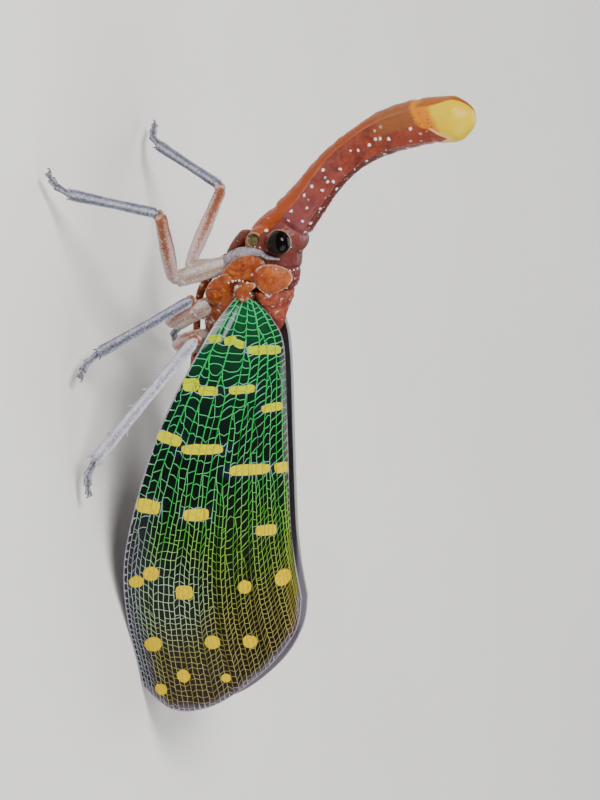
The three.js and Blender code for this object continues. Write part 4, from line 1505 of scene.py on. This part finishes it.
def foot_joints(knee, ankle, toe, radius):
    """The three joints of a foot and its two claws"""
    heel = ankle + (toe - ankle) * 0.4
    heel[2] = radius * 0.9
    last, mid = (heel + (toe - heel) * share for share in (0.42, 0.5))
    joints = [
        limb("first", towards(ankle, knee, 0.3), heel, radius, (0.75, 0.72, 0.95), 20, 20, 12),
        limb("second", towards(heel, ankle, radius * 0.6), mid, radius, (0.7, 0.95), 20, 20, 12),
        limb("third", last, towards(toe, heel, 0.1), radius, (0.5, 0.6, 0.85), 20, 20, 12),
    ]
    forwards = unit(toe - heel)
    sideways = np.cross(forwards, (0, 0, 1))
    for way in (-1, 1):
        start = toe - forwards * 0.25 + sideways * way * 0.14
        bend = start + forwards * 0.26 + sideways * way * 0.14 + (0, 0, 0.1)
        tip = bend + forwards * 0.12 + sideways * way * 0.06 - (0, 0, 0.22)
        joints.append(swept_form("claw", Line([start, bend, tip]), CLAW_RADII, CLAW_RADII, 12, 14, 12))
    return joints


class LANTERNBUG_OT_legs(Operator):
    """Six legs with ridged shins, spines, three-jointed feet and claws"""

    bl_idname = "lantern_bug.legs"
    bl_label = "Legs"

    def execute(self, context):
        looks = {}
        for name, (dark, light, wax, *ridges) in LEG_LOOKS.items():
            tint = ridge_wax(*ridges)
            looks[name] = cuticle(
                f"{name}_cuticle", dark, light, wax, relief=0.9, grain=7.0, wax_grain=3.5, tint=tint
            )
        for name, points in LEGS.items():
            coxa_r, femur_r, tibia_r, tarsus_r, spines = LEG_SIZES[name.split("_")[0]]
            root, trochanter, knee, ankle, toe = [np.array(p, dtype=float) for p in points]
            coxa, femur = coxa_and_femur(root, trochanter, knee, ankle, coxa_r, femur_r)
            shin = towards(knee, ankle, 0.05), towards(ankle, knee, 0.1)
            tibia = [limb("tibia", *shin, tibia_r, (1, 0.95, 0.9, 1, 1.12), relief=ridged)]
            tibia += shin_bristles(knee, ankle, tibia_r, spines)
            tarsus = foot_joints(knee, ankle, toe, tarsus_r)
            for label, parts, look, slot in (
                ("coxa", coxa, "coxa", "waxed_cuticle"),
                ("femur", femur, "femur", "waxed_cuticle"),
                ("tibia", tibia, "hind_tibia" if spines else "tibia", "shin_cuticle"),
                ("tarsus", tarsus, "tarsus", "shin_cuticle"),
            ):
                piece = join_pieces(f"{label}_{name}_shell", parts)
                places = vertex_places(piece)
                places[:, 2] = np.maximum(places[:, 2], FLOOR_GAP * MM)
                place_vertices(piece, places)
                shade(piece, 50)
                finish_piece(piece, looks[look], slot, f"{label}_{name}")
        return {"FINISHED"}


# Stage


def aim(thing, place, target):
    """Turns a light at a place towards a target"""
    thing.location = place
    thing.rotation_euler = (Vector(target) - Vector(place)).to_track_quat("-Z", "Y").to_euler()


def camera_axes():
    """Towards the camera, the image's right and the image's up, in the model's frame"""
    ahead = np.array(
        [
            -math.sin(LOOK_FROM_FRONT) * math.cos(LOOK_DOWN),
            -math.cos(LOOK_FROM_FRONT) * math.cos(LOOK_DOWN),
            math.sin(LOOK_DOWN),
        ]
    )
    level = np.cross(-ahead, (0, 0, 1))
    level /= np.linalg.norm(level)
    upright = np.cross(level, -ahead)
    right = math.cos(CAMERA_ROLL) * level + math.sin(CAMERA_ROLL) * upright
    up = -math.sin(CAMERA_ROLL) * level + math.cos(CAMERA_ROLL) * upright
    return ahead, right, up


class LANTERNBUG_OT_stage(Operator):
    """A pale floor, soft studio lights and the camera of the photo"""

    bl_idname = "lantern_bug.stage"
    bl_label = "Stage"

    def execute(self, context):
        bpy.ops.mesh.primitive_plane_add(size=3, location=(0, 0, 0))
        floor = start_piece("floor")
        material, shader = new_material("matt_card", Roughness=0.9)
        speckle = add_node(material, "ShaderNodeTexNoise", {"Scale": 120.0, "Detail": 3.0})
        tone = ramp(material, speckle.outputs["Fac"], (0.3, "#f4f1ec"), (0.7, "#f9f6f1"))
        link(material, tone, shader.inputs["Base Color"])
        floor.data.materials.append(material)

        forth, right, up = camera_axes()
        target = SHIFT + right * (IMAGE_SIZE[0] / 2 - FLOOR_PIXEL) / PIXELS_PER_MM
        distance = LENS_MM / SENSOR_MM * IMAGE_SIZE[1] / PIXELS_PER_MM
        bpy.ops.object.camera_add()
        camera = context.object
        camera.data.lens = LENS_MM
        camera.data.sensor_fit = "AUTO"
        camera.data.sensor_width = SENSOR_MM
        camera.data.clip_start = 0.01
        axes = np.eye(4)
        axes[:3, 0], axes[:3, 1], axes[:3, 2] = right, up, forth
        axes[:3, 3] = (target + forth * distance) * MM
        camera.matrix_world = Matrix(axes.tolist())
        context.scene.camera = camera

        for spread, power, (ahead, sideways, above) in LIGHTS:
            place = target + forth * ahead + right * sideways + up * above
            bpy.ops.object.light_add(type="AREA")
            light = context.object
            light.data.shape = "DISK"
            light.data.size = spread
            light.data.energy = power
            aim(light, place * MM, target * MM)
        world = bpy.data.worlds.new("studio")
        context.scene.world = world
        world.use_nodes = True
        background = world.node_tree.nodes["Background"]
        background.inputs["Color"].default_value = solid("#dfe6ee")
        background.inputs["Strength"].default_value = 0.25
        return {"FINISHED"}


STEPS = ("forewings", "hindwings", "head", "eyes", "body", "legs", "stage")


class LANTERNBUG_PT_panel(Panel):
    """Lists the steps in the sidebar"""

    bl_idname = "LANTERNBUG_PT_panel"
    bl_label = "Lantern Bug"
    bl_space_type = "VIEW_3D"
    bl_region_type = "UI"
    bl_category = "Lantern Bug"

    def draw(self, context):
        for step in STEPS:
            self.layout.operator(f"lantern_bug.{step}")
        for group in (context.scene.lantern_bug_sizes, context.scene.lantern_bug_colours):
            for name in group.bl_rna.properties.keys():
                if name not in ("rna_type", "name"):
                    self.layout.prop(group, name)


CLASSES = (
    LanternBugSizes,
    LanternBugColours,
    LANTERNBUG_OT_forewings,
    LANTERNBUG_OT_hindwings,
    LANTERNBUG_OT_head,
    LANTERNBUG_OT_eyes,
    LANTERNBUG_OT_body,
    LANTERNBUG_OT_legs,
    LANTERNBUG_OT_stage,
    LANTERNBUG_PT_panel,
)


def register():
    for entry in CLASSES:
        bpy.utils.register_class(entry)
    bpy.types.Scene.lantern_bug_sizes = PointerProperty(type=LanternBugSizes)
    bpy.types.Scene.lantern_bug_colours = PointerProperty(type=LanternBugColours)


def unregister():
    del bpy.types.Scene.lantern_bug_sizes
    del bpy.types.Scene.lantern_bug_colours
    for entry in reversed(CLASSES):
        bpy.utils.unregister_class(entry)


def main():
    register()
    deselect()
    for step in STEPS:
        getattr(bpy.ops.lantern_bug, step)()
        deselect()
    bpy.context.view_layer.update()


if __name__ == "__main__":
    main()
